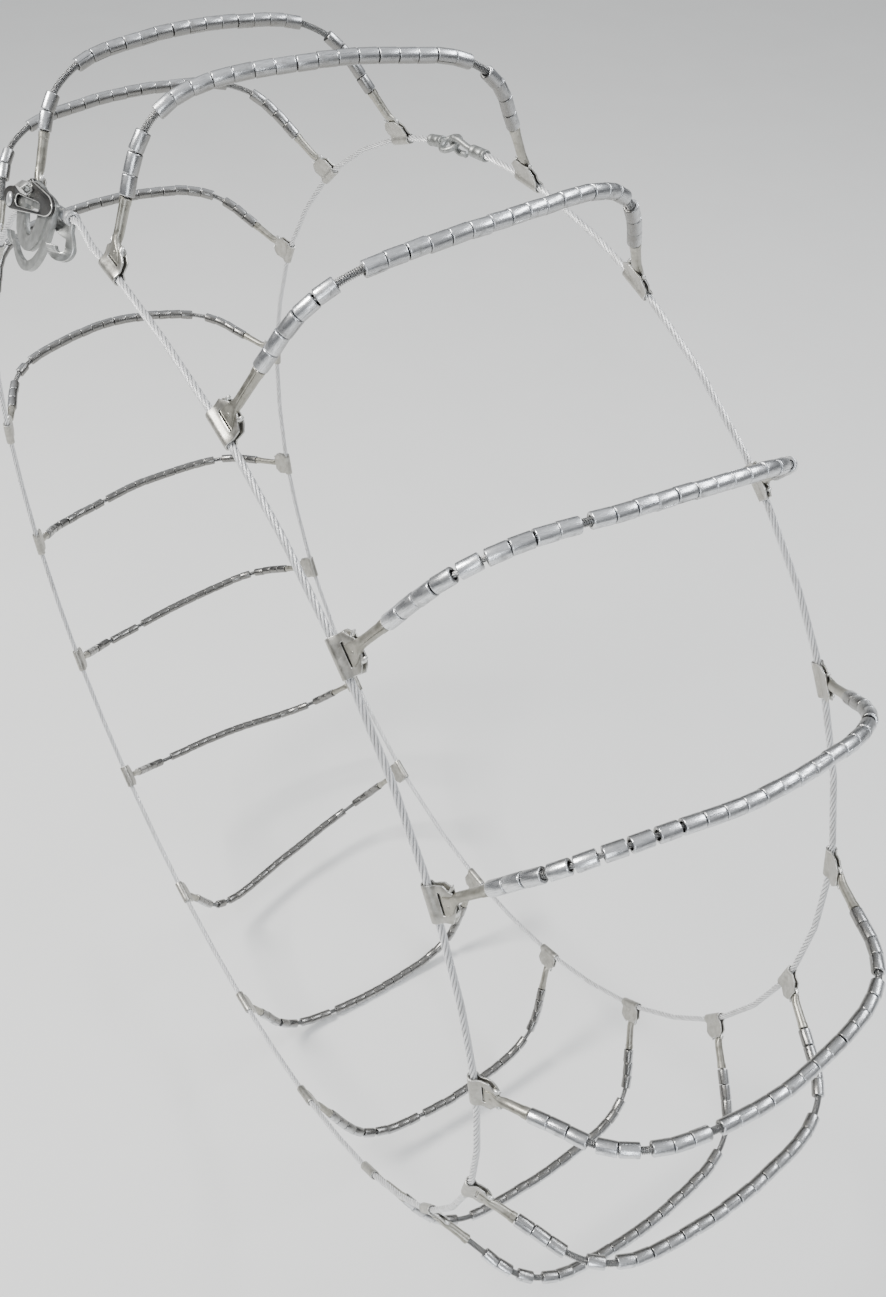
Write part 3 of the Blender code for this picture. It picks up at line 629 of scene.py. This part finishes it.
def build_member(index, path, looks):
    """A member's sleeves, its core and the springs between its sleeve groups."""
    random = np.random.default_rng(100 + index)
    label = f"{index + 1:02d}"
    stands_for = ("ladder", f"cross_member_{label}", "bright_steel")
    sleeves, core, springs = Skin(), Skin(), Skin()
    for start, count in groups_of(index):
        for number in range(count):
            add_sleeve(sleeves, path, start / 1000 + number * SLEEVE_PITCH, random, 1.0)
    place_piece(f"sleeves_{label}", sleeves.mesh("sleeves"), [looks["sleeve"]], *stands_for)
    s = np.arange(path.start + CORE_START, path.length - CORE_START, CORE_STEP)
    rope(core, path.at(s), CORE_RADIUS, CORE_LAY, path.round, 6, random)
    place_piece(f"core_rope_{label}", core.mesh("core"), [looks["core"]], *stands_for)
    spans = group_spans(index)
    for number, ((_, finish), (start, _)) in enumerate(zip(spans, spans[1:])):
        bare = index == DETAILED_MEMBER - 1 and number == 0
        last = DETAILED_SLEEVES[0] / 1000 if bare else start
        if last - finish > SHORTEST_SPRING:
            add_spring(springs, path, finish - SPRING_OVERLAP, last + SPRING_OVERLAP)
    clear = spans[0][0] - path.start - SHORTEST_SOCKET
    if clear > LONGEST_SOCKET - SHORTEST_SOCKET:
        socket = path.start + SHORTEST_SOCKET
        add_spring(springs, path, socket - SPRING_OVERLAP, spans[0][0] + SPRING_OVERLAP)
    if springs.count:
        place_piece(f"springs_{label}", springs.mesh("springs"), [looks["core"]], *stands_for)


def build_loose_sleeves(path, looks):
    """The spaced sleeves of the detailed member, each a piece of its own that spins."""
    random = np.random.default_rng(7)
    for number, start in enumerate(DETAILED_SLEEVES, 1):
        skin = Skin()
        add_sleeve(skin, path, start / 1000, random, 0.0)
        place_piece(
            f"loose_sleeve_{number}", skin.mesh("sleeve"), [looks["sleeve"]],
            f"sleeve_{number}", f"traction_sleeve_{number}", "bright_steel",
        )


# ---------------- end clamps

def superellipse(size, exponent, count):
    """Points of a ring between an ellipse and a rounded rectangle, counter-clockwise about y."""
    angles = np.linspace(0, 2 * math.pi, count, endpoint=False)
    x = np.sign(np.cos(angles)) * np.abs(np.cos(angles)) ** (2 / exponent)
    z = -np.sign(np.sin(angles)) * np.abs(np.sin(angles)) ** (2 / exponent)
    return np.stack([size[0] * x, np.zeros(count), size[1] * z], -1)


def folded_sheet():
    """The stamped sheet that wraps the cable: (place on y, z, half width) from leaf to leaf, by columns."""
    outer_leaf = [(0.0172, 0.0011, 0.0050), (0.0142, 0.0011, 0.0088), (0.0115, 0.0011, 0.0125),
                  (0.0084, 0.0011, 0.0125), (0.0060, 0.0011, 0.0125), (0.0048, 0.0014, 0.0125)]
    inner_leaf = [(0.0046, -0.0015, 0.0125), (0.0080, -0.0019, 0.0129), (0.0115, -0.0021, 0.0131),
                  (0.0148, -0.0021, 0.0100), (0.0170, -0.0018, 0.0070)]
    barrel = []
    for angle in np.radians(np.arange(40, 321, 20)):
        barrel.append((0.0035 * math.cos(angle), 0.0035 * math.sin(angle), 0.0125))
    rows = outer_leaf + barrel + inner_leaf
    shares = (-1.0, -0.6, -0.2, 0.2, 0.6, 1.0)
    slot_row, slot_columns = 3, (1, 2, 3)
    edit = bmesh.new()
    grid = [[edit.verts.new((share * half, y, z)) for share in shares] for y, z, half in rows]
    for i in range(len(rows) - 1):
        for j in range(len(shares) - 1):
            if i != slot_row or j not in slot_columns:
                edit.faces.new((grid[i][j], grid[i][j + 1], grid[i + 1][j + 1], grid[i + 1][j]))
    mesh = bpy.data.meshes.new("folded_sheet")
    edit.to_mesh(mesh)
    edit.free()
    with_slots(mesh, 3)
    return with_modifiers(mesh, [
        ("SOLIDIFY", {"thickness": SHEET_THICKNESS, "offset": 0.0, "use_even_offset": True}),
        ("BEVEL", {"width": 0.00028, "segments": 2, "limit_method": "ANGLE",
                   "angle_limit": math.radians(40), "material": 2}),
    ])


def with_slots(mesh, count):
    """Empty material slots, so that a modifier can give faces to the later ones."""
    for _ in range(count):
        mesh.materials.append(None)


def taken_from(parts):
    """The first object's mesh with its modifiers applied; the objects themselves are removed."""
    bpy.context.view_layer.update()
    graph = bpy.context.evaluated_depsgraph_get()
    mesh = bpy.data.meshes.new_from_object(parts[0].evaluated_get(graph))
    for part in parts:
        bpy.data.objects.remove(part, do_unlink=True)
    return mesh


def with_modifiers(mesh, modifiers):
    """A copy of the mesh with the modifiers applied."""
    base = new_object("base", mesh)
    for kind, settings in modifiers:
        modifier = base.modifiers.new(kind, kind)
        for key, value in settings.items():
            setattr(modifier, key, value)
    return taken_from([base])


def neck_rings():
    """The tongue on the plate, rolled into the neck and the socket that is crimped on the core."""
    sections = [
        # y, x of the middle, z of the middle, half width, half thickness, exponent
        (0.0087, 0.0013, 0.0019, 0.0063, 0.0004, 7), (0.0089, 0.0013, 0.0019, 0.0066, 0.0006, 7),
        (0.0118, 0.0006, 0.0019, 0.0060, 0.0006, 7), (0.0142, 0.0001, 0.0018, 0.0052, 0.0010, 5),
        (0.0164, 0.0, 0.0014, 0.0043, 0.0018, 3.4), (0.0188, 0.0, 0.0008, 0.0037, 0.0027, 2.5),
        (0.0215, 0.0, 0.0002, 0.0034, 0.0032, 2.1), (0.0250, 0.0, 0.0, 0.0033, 0.0033, 2),
        (0.0330, 0.0, 0.0, 0.0034, 0.0034, 2), (0.0378, 0.0, 0.0, 0.0035, 0.0035, 2),
        (0.0380, 0.0, 0.0, 0.0038, 0.0038, 2), (0.0416, 0.0, 0.0, 0.0039, 0.0039, 2),
        (0.0420, 0.0, 0.0, 0.0036, 0.0036, 2), (0.0420, 0.0, 0.0, 0.0026, 0.0026, 2),
        (0.0400, 0.0, 0.0, 0.0022, 0.0022, 2),
    ]
    rings = []
    for y, x, z, wide, thick, exponent in sections:
        ring = superellipse((wide, thick), exponent, 40)
        ring += np.array((x, y, z))
        if y > 0.02 and wide > 0.003:
            ring[33] -= (ring[33] - np.array((x, y, z))) * 0.11
        rings.append(ring)
    return np.array(rings)


def clamp_details():
    """What stands on the folded sheet, in two meshes: tongue, neck, dimple and strip; then the curls."""
    skin, curls = Skin(), Skin()
    skin.add(neck_rings())
    dimple = []
    for radius, height in ((0.0013, 0.0024), (0.0012, 0.0027), (0.0009, 0.0029), (0.0004, 0.0030)):
        ring = superellipse((radius, radius), 2, 14)[:, [0, 2, 1]]
        dimple.append(ring * (1, -1, 1) + np.array((0.0006, 0.0125, height)))
    skin.add(np.array(dimple))
    strip = [(x, 0.0072, 0.0004) for x in np.linspace(-0.0076, 0.0076, 5)]
    skin.add(sweep(strip, 0.0006, 8, (0, 0, 1)))
    for side in (-1, 1):
        curl = [(side * x, y, z) for x, y, z in (
            (0.0066, 0.0130, -0.0016), (0.0069, 0.0137, -0.0008), (0.0073, 0.0150, 0.0002),
            (0.0077, 0.0167, 0.0004), (0.0079, 0.0180, 0.0000), (0.0080, 0.0188, -0.0008))]
        curls.add(sweep(curl, (0.0006, 0.0012, 0.0015, 0.0015, 0.0012, 0.0005), 14, (1, 0, 0)))
    return skin.mesh("clamp_details"), curls.mesh("clamp_curls")


def paint(mesh, old, new):
    """Give the faces of one material index another."""
    for polygon in mesh.polygons:
        if polygon.material_index == old:
            polygon.material_index = new


def joined(meshes):
    """The meshes as one, with outward normals."""
    edit = bmesh.new()
    for mesh in meshes:
        edit.from_mesh(mesh)
    bmesh.ops.recalc_face_normals(edit, faces=edit.faces)
    whole = bpy.data.meshes.new("joined")
    edit.to_mesh(whole)
    edit.free()
    whole.shade_smooth()
    whole.set_sharp_from_angle(angle=math.radians(38))
    return whole


def clamp_template():
    """One clamp in its own axes, straight: material 0 on its sheet, 1 on tongue, neck, dimple and strip, 2 on
    curls and bevelled edges: wear with a painted highlight.
    """
    details, curls = clamp_details()
    # Details take material 1; the curls take 2, the bright edge material: wear with a painted highlight.
    for index, mesh in enumerate((details, curls), 1):
        paint(mesh, 0, index)
    return joined([folded_sheet(), details, curls])


def socket_end(index, path, side):
    """How far the socket reaches along the core: up to the first sleeve, where that is near."""
    groups = groups_of(index)
    first, (last, count) = groups[0][0] / 1000, groups[-1]
    reach = first - path.start if side < 0 else path.length - last / 1000 - count * SLEEVE_PITCH
    return SHORTEST_SOCKET if reach > LONGEST_SOCKET else reach - SOCKET_GAP


def build_clamp(name, template, index, path, side, node_name, looks):
    """The template stretched and bent so that its socket follows the cross member's core."""
    frame_of_clamp = side_frame(path.clamp_angles[0 if side < 0 else 1], side)
    mesh = template.copy()
    points = np.zeros(3 * len(mesh.vertices))
    mesh.vertices.foreach_get("co", points)
    points = points.reshape(-1, 3)
    reach = socket_end(index, path, side)
    plain = (NECK_END, NECK_END + COLLAR_LENGTH / 2, TEMPLATE_END - COLLAR_LENGTH, TEMPLATE_END)
    wanted = (NECK_END, NECK_END + COLLAR_LENGTH / 2, reach - COLLAR_LENGTH, reach)
    beyond = points[:, 1] > NECK_END
    points[beyond, 1] = np.interp(points[beyond, 1], plain, wanted)
    s = np.clip(points[:, 1], 0, None)
    line = path.at(path.start + s if side < 0 else path.length - s)
    away = np.array(frame_of_clamp.inverted())
    local = line @ away[:3, :3].T + away[:3, 3]
    share = np.clip((points[:, 1] - BEND_START) / BEND_LENGTH, 0, 1)
    share = (share * share * (3 - 2 * share))[:, None]
    bent = points + share * (local - np.stack([0 * s, s, 0 * s], -1))
    mesh.vertices.foreach_set("co", moved(bent, frame_of_clamp).ravel())
    place_piece(name, mesh, [looks["plate"], looks["neck"], looks["wear_and_highlight"]], "ladder", node_name, "zinc")


# ---------------- side cables

def fastener_arc(arc_length):
    """The angle that lies an arc length round the outer side cable from the fastener."""
    return math.radians(FASTENER_ANGLE) + arc_length / HALF_PROFILE[0][0]


def inner_arc(arc_length):
    """The angle that lies an arc length round the inner side cable from its joint."""
    return math.radians(INNER_JOINT_ANGLE) + arc_length / HALF_PROFILE[0][0]


def build_cables(paths, looks):
    """The outer cable, from the take-up round to its tail at the anchor hook, and the inner one."""
    frame_of_fastener = side_frame(math.radians(FASTENER_ANGLE), -1)
    route = [frame_of_fastener @ Vector((x, 0, 0)) for x in (RIGHT_CABLE_END, STRAIGHT_END)]
    angles = [path.clamp_angles[0] for path in paths] + [fastener_arc(ANCHOR_ARC)]
    route += ring_route(angles, -1, fastener_arc(JOINED_ARC), fastener_arc(TAIL_ARC) + 2 * math.pi)
    gap = INNER_GAP / HALF_PROFILE[0][0]
    joint = math.radians(INNER_JOINT_ANGLE)
    angles = [path.clamp_angles[1] for path in paths] + [inner_arc(-INNER_END_ARC), inner_arc(INNER_END_ARC)]
    inner_route = ring_route(angles, 1, joint + gap, joint + 2 * math.pi - gap)
    for name, points, seed in (("outer_side_cable", route, 1), ("inner_side_cable", inner_route, 2)):
        skin = Skin()
        line, random = rounded_route(points, CABLE_STEP), np.random.default_rng(seed)
        rope(skin, line, CABLE_RADIUS, CABLE_LAY, (0, 1, 0), 8, random)
        place_piece(f"{name}_rope", skin.mesh(name), [looks["cable"]], "ladder", name, "wire_rope")


# ---------------- fastener shapes

def arc(centre, size, first, last, steps):
    """Points of a round or elliptical arc, in degrees from +x, counter-clockwise."""
    wide, high = size if isinstance(size, tuple) else (size, size)
    angles = np.radians(np.linspace(first, last, steps))
    return [(centre[0] + wide * math.cos(a), centre[1] + high * math.sin(a)) for a in angles]


def slab(outline, low, high):
    """A flat outline of (x, y) points, extruded from z = low to z = high, as a mesh object."""
    edit = bmesh.new()
    face = edit.faces.new([edit.verts.new((x, y, low)) for x, y in outline])
    lifted = bmesh.ops.extrude_face_region(edit, geom=[face])["geom"]
    raised = [part for part in lifted if isinstance(part, bmesh.types.BMVert)]
    bmesh.ops.translate(edit, vec=(0, 0, high - low), verts=raised)
    bmesh.ops.recalc_face_normals(edit, faces=edit.faces)
    mesh = bpy.data.meshes.new("slab")
    edit.to_mesh(mesh)
    edit.free()
    return new_object("part", mesh)


def disc(centre, radius, low, high):
    return slab(arc(centre, radius, 0, 350, 36), low, high)


def metal_part(base, cutters, edge, place=None):
    """The base less its cutters, with rounded edges that take material 1."""
    for cutter in cutters:
        cut = base.modifiers.new("cut", "BOOLEAN")
        cut.operation, cut.object = "DIFFERENCE", cutter
    mesh = taken_from([base] + cutters)
    edit = bmesh.new()
    edit.from_mesh(mesh)
    bmesh.ops.remove_doubles(edit, verts=edit.verts, dist=1e-6)
    bmesh.ops.dissolve_limit(edit, angle_limit=math.radians(0.5), verts=edit.verts, edges=edit.edges)
    edit.to_mesh(mesh)
    edit.free()
    mesh.materials.clear()
    with_slots(mesh, 2)
    mesh.shade_smooth()
    made = with_modifiers(mesh, [
        ("BEVEL", {"width": edge, "segments": 3, "limit_method": "ANGLE",
                   "angle_limit": math.radians(30), "material": 1, "harden_normals": True}),
    ])
    if place:
        made.transform(place)
    return made


def lathe(profile, sides=32):
    """A turned part about x, from (x, radius) points, as a mesh."""
    profile = np.array(profile)
    angles = np.linspace(0, 2 * math.pi, sides, endpoint=False)
    x = np.broadcast_to(profile[:, :1], (len(profile), sides))
    skin = Skin()
    skin.add(np.stack([x, profile[:, 1:] * np.cos(angles), profile[:, 1:] * np.sin(angles)], -1))
    return skin.mesh("turned")


def crimped_barrel(start, end, radius, mouths):
    """A ferrule with rounded rims and pressed rings, open at its mouths: 0, 1 or both ends of it."""
    rim, depth, bore = 0.0007, 0.0060, CABLE_RADIUS + 0.0003
    middle = (start + end) / 2
    lip = [(rim * (1 - math.cos(a)), radius - rim + rim * math.sin(a)) for a in (0.0, 0.6, 1.1, 1.57)]
    pressed = ((-0.0014, 0), (-0.0007, 0.0004), (0.0007, 0.0004), (0.0014, 0))
    profile = [(start + inset, height) for inset, height in lip]
    for at in (middle - 0.0045, middle + 0.0045):
        profile += [(at + offset, radius - dent) for offset, dent in pressed]
    profile += [(end - inset, height) for inset, height in lip[::-1]]
    if 0 in mouths:
        profile = [(start + depth, bore), (start, bore)] + profile
    if 1 in mouths:
        profile += [(end, bore), (end - depth, bore)]
    return lathe(profile)


def cam_spiral(offset, first, last, steps):
    """Points beside the cam's slot, where the pin stands after each turn, for a pin that moves along x."""
    points = []
    for turn in np.linspace(first, last, steps):
        x, y = PIN_X + PIN_DRAW * turn / CAM_TRAVEL - CAM_AT[0], -CAM_AT[1]
        radius, angle = math.hypot(x, y) + offset, math.atan2(y, x) - math.radians(turn)
        points.append((radius * math.cos(angle), radius * math.sin(angle)))
    return points


def square(side):
    """A square standing on a corner."""
    return arc((0, 0), side / math.sqrt(2), 0, 270, 4)


def cam_meshes():
    """The cam's plate with its slot, its turned collar, and the square tube for the tightening lever."""
    low, high = CAM_LEVELS
    middle, shoulder = (0, -CAM_DROP), (CAM_RADIUS, CAM_HUB)
    outline = arc(middle, CAM_RADIUS, -178, 0, 60) + arc(middle, shoulder, 5, 62, 12)
    outline += arc((0, 0), CAM_HUB, 64, 116, 12) + arc(middle, shoulder, 118, 175, 12)
    travel = CAM_TRAVEL + 4
    slot = cam_spiral(CAM_SLOT_HALF, 0, travel, 44) + cam_spiral(-CAM_SLOT_HALF, travel, 0, 44)
    pin, = cam_spiral(0, 0, 0, 1)
    inner, narrowing, sweep_angle = CAM_OPENING
    shares = np.linspace(0, 1, 20)
    opening = [arc((0, 0), inner - narrowing * t, CAM_ARM_END - sweep_angle * t, 0, 1)[0] for t in shares]
    opening += arc((0, 0), 2 * CAM_RADIUS, CAM_ARM_END - sweep_angle, CAM_ARM_END, 16)
    window = arc(middle, CAM_WINDOW, -165, -15, 32)
    cutters = [slab(shape, 0, 2 * high) for shape in (slot, opening, window)]
    plate = metal_part(slab(outline, low, high), cutters + [disc(pin, CAM_SLOT_HALF, 0, 2 * high)], 0.0004)
    upright = Matrix.Rotation(-math.pi / 2, 4, "Y")
    foot, bevel = (low + high) / 2, 0.0004
    collar = lathe([
        (foot, COLLAR_RADIUS), (LEVER_LEVEL - bevel, COLLAR_RADIUS), (LEVER_LEVEL, COLLAR_RADIUS - bevel),
    ])
    collar.transform(upright)
    lengthwise = Matrix.Translation((0, 0, LEVER_LEVEL)) @ Matrix.Rotation(math.pi / 2, 4, "Y")
    start, end = LEVER_TUBE
    socket = slab(square(LEVER_SOCKET), 2 * start, 2 * end)
    tube = metal_part(slab(square(LEVER_SIDE), start, end), [socket], 0.0007, lengthwise)
    for turned in (collar, tube):
        paint(turned, 0, 1)
    return [plate, collar, tube]


def link_mesh(anchor):
    """The dark plate with its long window, pierced by the cam's collar and the rivet."""
    outline = arc(*LINK_LEFT, 100, 260, 36) + arc(*LINK_RIGHT, -85, 60, 30)
    outline += arc(CAM_AT, LINK_HUB, 50, 130, 16)
    window = arc(*WINDOW_RIGHT, -85, 85, 16) + arc(*WINDOW_LEFT, 95, 265, 16)
    low, high = LINK_LEVELS
    cutters = [slab(window, 0, 2 * high)]
    for centre, radius in ((CAM_AT, COLLAR_RADIUS), (anchor, RIVET_RADII[0])):
        cutters.append(disc(centre, radius + HOLE_PLAY, 0, 2 * high))
    return metal_part(slab(outline, low, high), cutters, 0.0005)


def hook_blade(root):
    """Flat J-hook that hangs below a barrel, twisted towards its round tip."""
    far, near = root
    bend = (near + HOOK_BEND[0], HOOK_BEND[1])
    outer, inner = arc(bend, HOOK_RADII[0], 10, -180, 40), arc(bend, HOOK_RADII[1], -180, 10, 28)
    throat, heel = (near - 0.0060, -0.0135), (far, -0.0055)
    outline = [(near, -HOOK_ROOT), *outer, *inner, throat, heel, (far, -HOOK_ROOT)]
    flat = metal_part(slab(outline, -HOOK_THICKNESS / 2, HOOK_THICKNESS / 2), [], 0.0010)
    edit = bmesh.new()
    edit.from_mesh(flat)
    for y in np.arange(-0.026, -0.003, 0.0015):
        everything = edit.verts[:] + edit.edges[:] + edit.faces[:]
        bmesh.ops.bisect_plane(edit, geom=everything, plane_co=(0, y, 0), plane_no=(0, 1, 0), dist=1e-6)
    for vertex in edit.verts:
        twist = math.radians(HOOK_TWIST) * np.interp(-vertex.co.y, HOOK_TWIST_SPAN, (0, 1))
        offset = near - HOOK_SET - vertex.co.x
        lift = vertex.co.z
        vertex.co.x = near - HOOK_SET - offset * math.cos(twist)
        vertex.co.z = lift + offset * math.sin(twist)
    edit.to_mesh(flat)
    edit.free()
    return flat


def dome(radius, foot, top):
    """A rivet head or a pin about z, rounded over its top."""
    turns = np.radians(np.linspace(0, 90, 8))
    rise = top - foot
    skirt = [(foot, 0.6 * radius), (foot, radius)]
    cap = [(foot + rise * (0.35 + 0.65 * math.sin(a)), radius * (0.35 + 0.65 * math.cos(a))) for a in turns]
    head = lathe(skirt + cap)
    head.transform(Matrix.Rotation(-math.pi / 2, 4, "Y"))
    return head


def build_fastener(looks):
    """The cam, the link plate, the take-up, the anchor hook and the rivet."""
    fastener = side_frame(math.radians(FASTENER_ANGLE), -1)
    rivet_at = (fastener.inverted() @ side_frame(fastener_arc(RIVET_AT), -1).translation).xy
    casting, edge = looks["casting"], looks["wear_and_highlight"]
    cam = joined(cam_meshes())
    cam.transform(fastener @ Matrix.Translation((*CAM_AT, 0)))
    place_piece("cam", cam, [casting, edge], "cam", "tightening_cam", "light_casting")
    link = joined([link_mesh(rivet_at)])
    link.transform(fastener)
    place_piece("link", link, [looks["oxide"], edge], "ladder", "link_plate", "dark_steel")
    start, end = TAKE_UP_ENDS
    pin = dome(PIN_RADIUS, 0.0, CAM_LEVELS[1] - 0.0003)
    near, far = BLADE_ENDS
    collar = crimped_barrel(end - 0.0120, end, FERRULE_RADIUS + 0.0004, (1,))
    blade = hook_blade((start + near, end + far))
    paint(blade, 0, 2)
    take_up = joined([crimped_barrel(start, end - 0.0100, FERRULE_RADIUS, ()), collar, blade, pin])
    take_up.transform(fastener)
    place_piece("take_up", take_up, [looks["bright"], edge, casting], "take_up", "take_up_hook", "zinc")
    blade = hook_blade((-ANCHOR_HALF + 0.004, ANCHOR_HALF))
    blade.transform(Matrix.Diagonal((-1, 1, 1, 1)))
    anchor = joined([crimped_barrel(-ANCHOR_HALF, ANCHOR_HALF, FERRULE_RADIUS, (0, 1)), blade])
    anchor.transform(side_frame(fastener_arc(ANCHOR_ARC), -1))
    place_piece("anchor", anchor, [casting, edge], "ladder", "anchor_hook", "zinc")
    shank_radius, head_radius = RIVET_RADII
    foot, top = FERRULE_RADIUS + 0.0003, LINK_LEVELS[1] + 0.0003
    rivet = joined([dome(shank_radius, foot, top + RIVET_HEAD / 2), dome(head_radius, top, top + RIVET_HEAD)])
    rivet.transform(fastener @ Matrix.Translation((*rivet_at, 0)))
    place_piece("rivet", rivet, [looks["bright"]], "ladder", "anchor_rivet", "bright_steel")


# ---------------- inner joint

def wire(points, radius):
    """A bent wire with rounded ends, as a mesh."""
    points = smooth_through(points, 5)
    radii = np.full(len(points), radius)
    radii[[0, -1]] *= 0.55
    skin = Skin()
    skin.add(sweep(points, radii, 14, (0.3, 0.2, 1.0)))
    return skin.mesh("wire")


def build_inner_joint(looks):
    """The open hook and the eye that it catches, each crimped on its end of the inner cable."""
    joint = side_frame(math.radians(INNER_JOINT_ANGLE), 1)
    bend = [(x, y, 0) for x, y in arc((0, 0), INNER_HOOK_BEND, 100, -110, 16)]
    lead = [(-0.021, 0.0, 0), (-0.015, 0.0016, 0), (-0.010, 0.0042, 0), (-0.006, 0.0062, 0)]
    hook = wire(lead + bend + [(-0.0075, -0.0072, 0)], INNER_HOOK_WIRE)
    circle = [(x, 0, z) for x, z in arc((INNER_EYE_AT, 0), INNER_EYE_RADIUS, 0, 360, 33)]
    ring = Skin()
    ring.add(sweep(circle, INNER_EYE_WIRE, 14, (0, 1, 0)), capped=False)
    for name, sign, part in (("hook", -1, hook), ("eye", 1, ring.mesh("ring"))):
        local = joint.inverted() @ side_frame(inner_arc(-sign * INNER_END_ARC), 1)
        barrel = crimped_barrel(-INNER_HALF, INNER_HALF, FERRULE_RADIUS, (1 if sign > 0 else 0,))
        barrel.transform(local)
        shank_radius, shank_end = INNER_SHANK
        near = local @ Vector((-sign * INNER_HALF, 0, 0))
        far = Vector((sign * shank_end, 0, 0))
        shank = Skin()
        line = [near.lerp(far, share) for share in (-0.3, 0.0, 0.5, 0.9, 1.0)]
        shank.add(sweep(line, (*3 * (shank_radius,), 0.0029, 0.0022), 16, (0, 0, 1)))
        made = joined([barrel, part, shank.mesh("shank")])
        made.transform(joint)
        place_piece(name, made, [looks["casting"], looks["wear_and_highlight"]], "ladder", f"inner_{name}", "light_casting")


# ---------------- stage

def build_floor(lowest):
    """A pale floor just under the lowest place of the chain."""
    mesh = bpy.data.meshes.new("floor")
    signs = ((-1, -1), (1, -1), (1, 1), (-1, 1))
    corners = [(x * FLOOR_HALF, y * FLOOR_HALF, lowest - FLOOR_GAP) for x, y in signs]
    mesh.from_pydata(corners, [], [(0, 1, 2, 3)])
    floor = new_object("floor", mesh)
    material, tree, shader, place, _ = new_surface("pale_floor", 0.0)
    grain = noise(tree, place, 6.0, 4.0)
    colour = mixed(tree, grain, (0.80, 0.80, 0.79), (0.84, 0.84, 0.83))
    finish_surface(tree, shader, colour, spread(tree, grain, 0.0, 1.0, 0.75, 0.9), grain, 0.05, 0.001)
    mesh.materials.append(material)


def area_light(name, at, size, power, colour):
    data = bpy.data.lights.new(name, "AREA")
    data.shape, data.size, data.size_y = "RECTANGLE", *size
    data.energy, data.color = power, colour
    light = new_object(name, data)
    light.location = at
    light.rotation_euler = (-Vector(at)).to_track_quat("-Z", "Y").to_euler()


def build_lights():
    area_light("key", (-0.9, -1.7, 2.4), (0.9, 0.9), 125, (1.0, 0.985, 0.95))
    area_light("fill", (2.4, -1.2, 1.0), (0.5, 1.6), 20, (0.90, 0.95, 1.0))
    area_light("rim", (0.6, 2.0, 2.2), (2.2, 0.5), 50, (0.93, 0.96, 1.0))
    world = bpy.data.worlds.new("studio")
    world.use_nodes = True
    tree = world.node_tree
    coordinates = tree.nodes.new("ShaderNodeTexCoord")
    height = node(tree, "ShaderNodeSeparateXYZ", {"Vector": coordinates.outputs["Generated"]}).outputs[2]
    colour = mixed(tree, spread(tree, height, 0.05, 0.80), (0.15, 0.152, 0.158), (0.96, 0.98, 1.0))
    background = tree.nodes["Background"]
    tree.links.new(colour, background.inputs["Color"])
    background.inputs["Strength"].default_value = 0.85
    bpy.context.scene.world = world


def build_camera():
    """The photograph's viewpoint: level from side to side, and looking down on the tread and sidewall."""
    data = bpy.data.cameras.new("camera")
    data.sensor_width, data.sensor_fit, data.lens = 36.0, "AUTO", CAMERA_LENS
    camera = new_object("camera", data)
    right, forward = Vector(CAMERA_RIGHT), Vector(CAMERA_FORWARD)
    turn = Matrix((right, right.cross(forward), -forward)).transposed().to_4x4()
    camera.matrix_world = Matrix.Translation(CAMERA_AT) @ turn
    bpy.context.scene.camera = camera


# ---------------- the whole chain

for old in list(bpy.data.objects):
    bpy.data.objects.remove(old, do_unlink=True)
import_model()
cad_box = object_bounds()
LOOKS = {
    "sleeve": sleeve_steel(),
    # Each rope's second colour is its painted shade, in the valleys between the strands.
    "core": rope_steel("core_wire", (0.46, 0.46, 0.46), (0.12, 0.12, 0.12), 1.0),
    "cable": rope_steel("cable_wire", (0.97, 0.975, 0.985), (0.22, 0.22, 0.225), 0.40),
    "plate": plated("clamp_plate", (0.53, 0.52, 0.485), (0.32, 0.31, 0.28), (0.30, 0.50)),
    "neck": plated("clamp_neck", (0.48, 0.465, 0.42), (0.29, 0.28, 0.24), (0.28, 0.48)),
    "casting": plated("galvanised_casting", (0.43, 0.44, 0.435), (0.27, 0.275, 0.265), (0.36, 0.58)),
    "bright": plated("bright_casting", (0.86, 0.87, 0.89), (0.60, 0.605, 0.61), (0.24, 0.40), 0.8),
    # Bright edges: partly wear, partly a painted highlight, on the bevels and the clamp curls.
    "wear_and_highlight": plated("edge_wear_and_highlight", (0.84, 0.84, 0.82), (0.58, 0.58, 0.56), (0.24, 0.40)),
    "oxide": black_oxide(),
}
member_paths = [MemberPath(index) for index in range(MEMBER_COUNT)]
clamp_mesh = clamp_template()
for number, member in enumerate(member_paths):
    build_member(number, member, LOOKS)
    label = f"{number + 1:02d}"
    build_clamp(f"clamp_{label}", clamp_mesh, number, member, -1, f"outer_clamp_{label}", LOOKS)
    build_clamp(f"inner_clamp_{label}", clamp_mesh, number, member, 1, "inner_side_cable", LOOKS)
build_loose_sleeves(member_paths[DETAILED_MEMBER - 1], LOOKS)
build_cables(member_paths, LOOKS)
build_fastener(LOOKS)
build_inner_joint(LOOKS)
build_floor(cad_box[0].z)
build_lights()
build_camera()
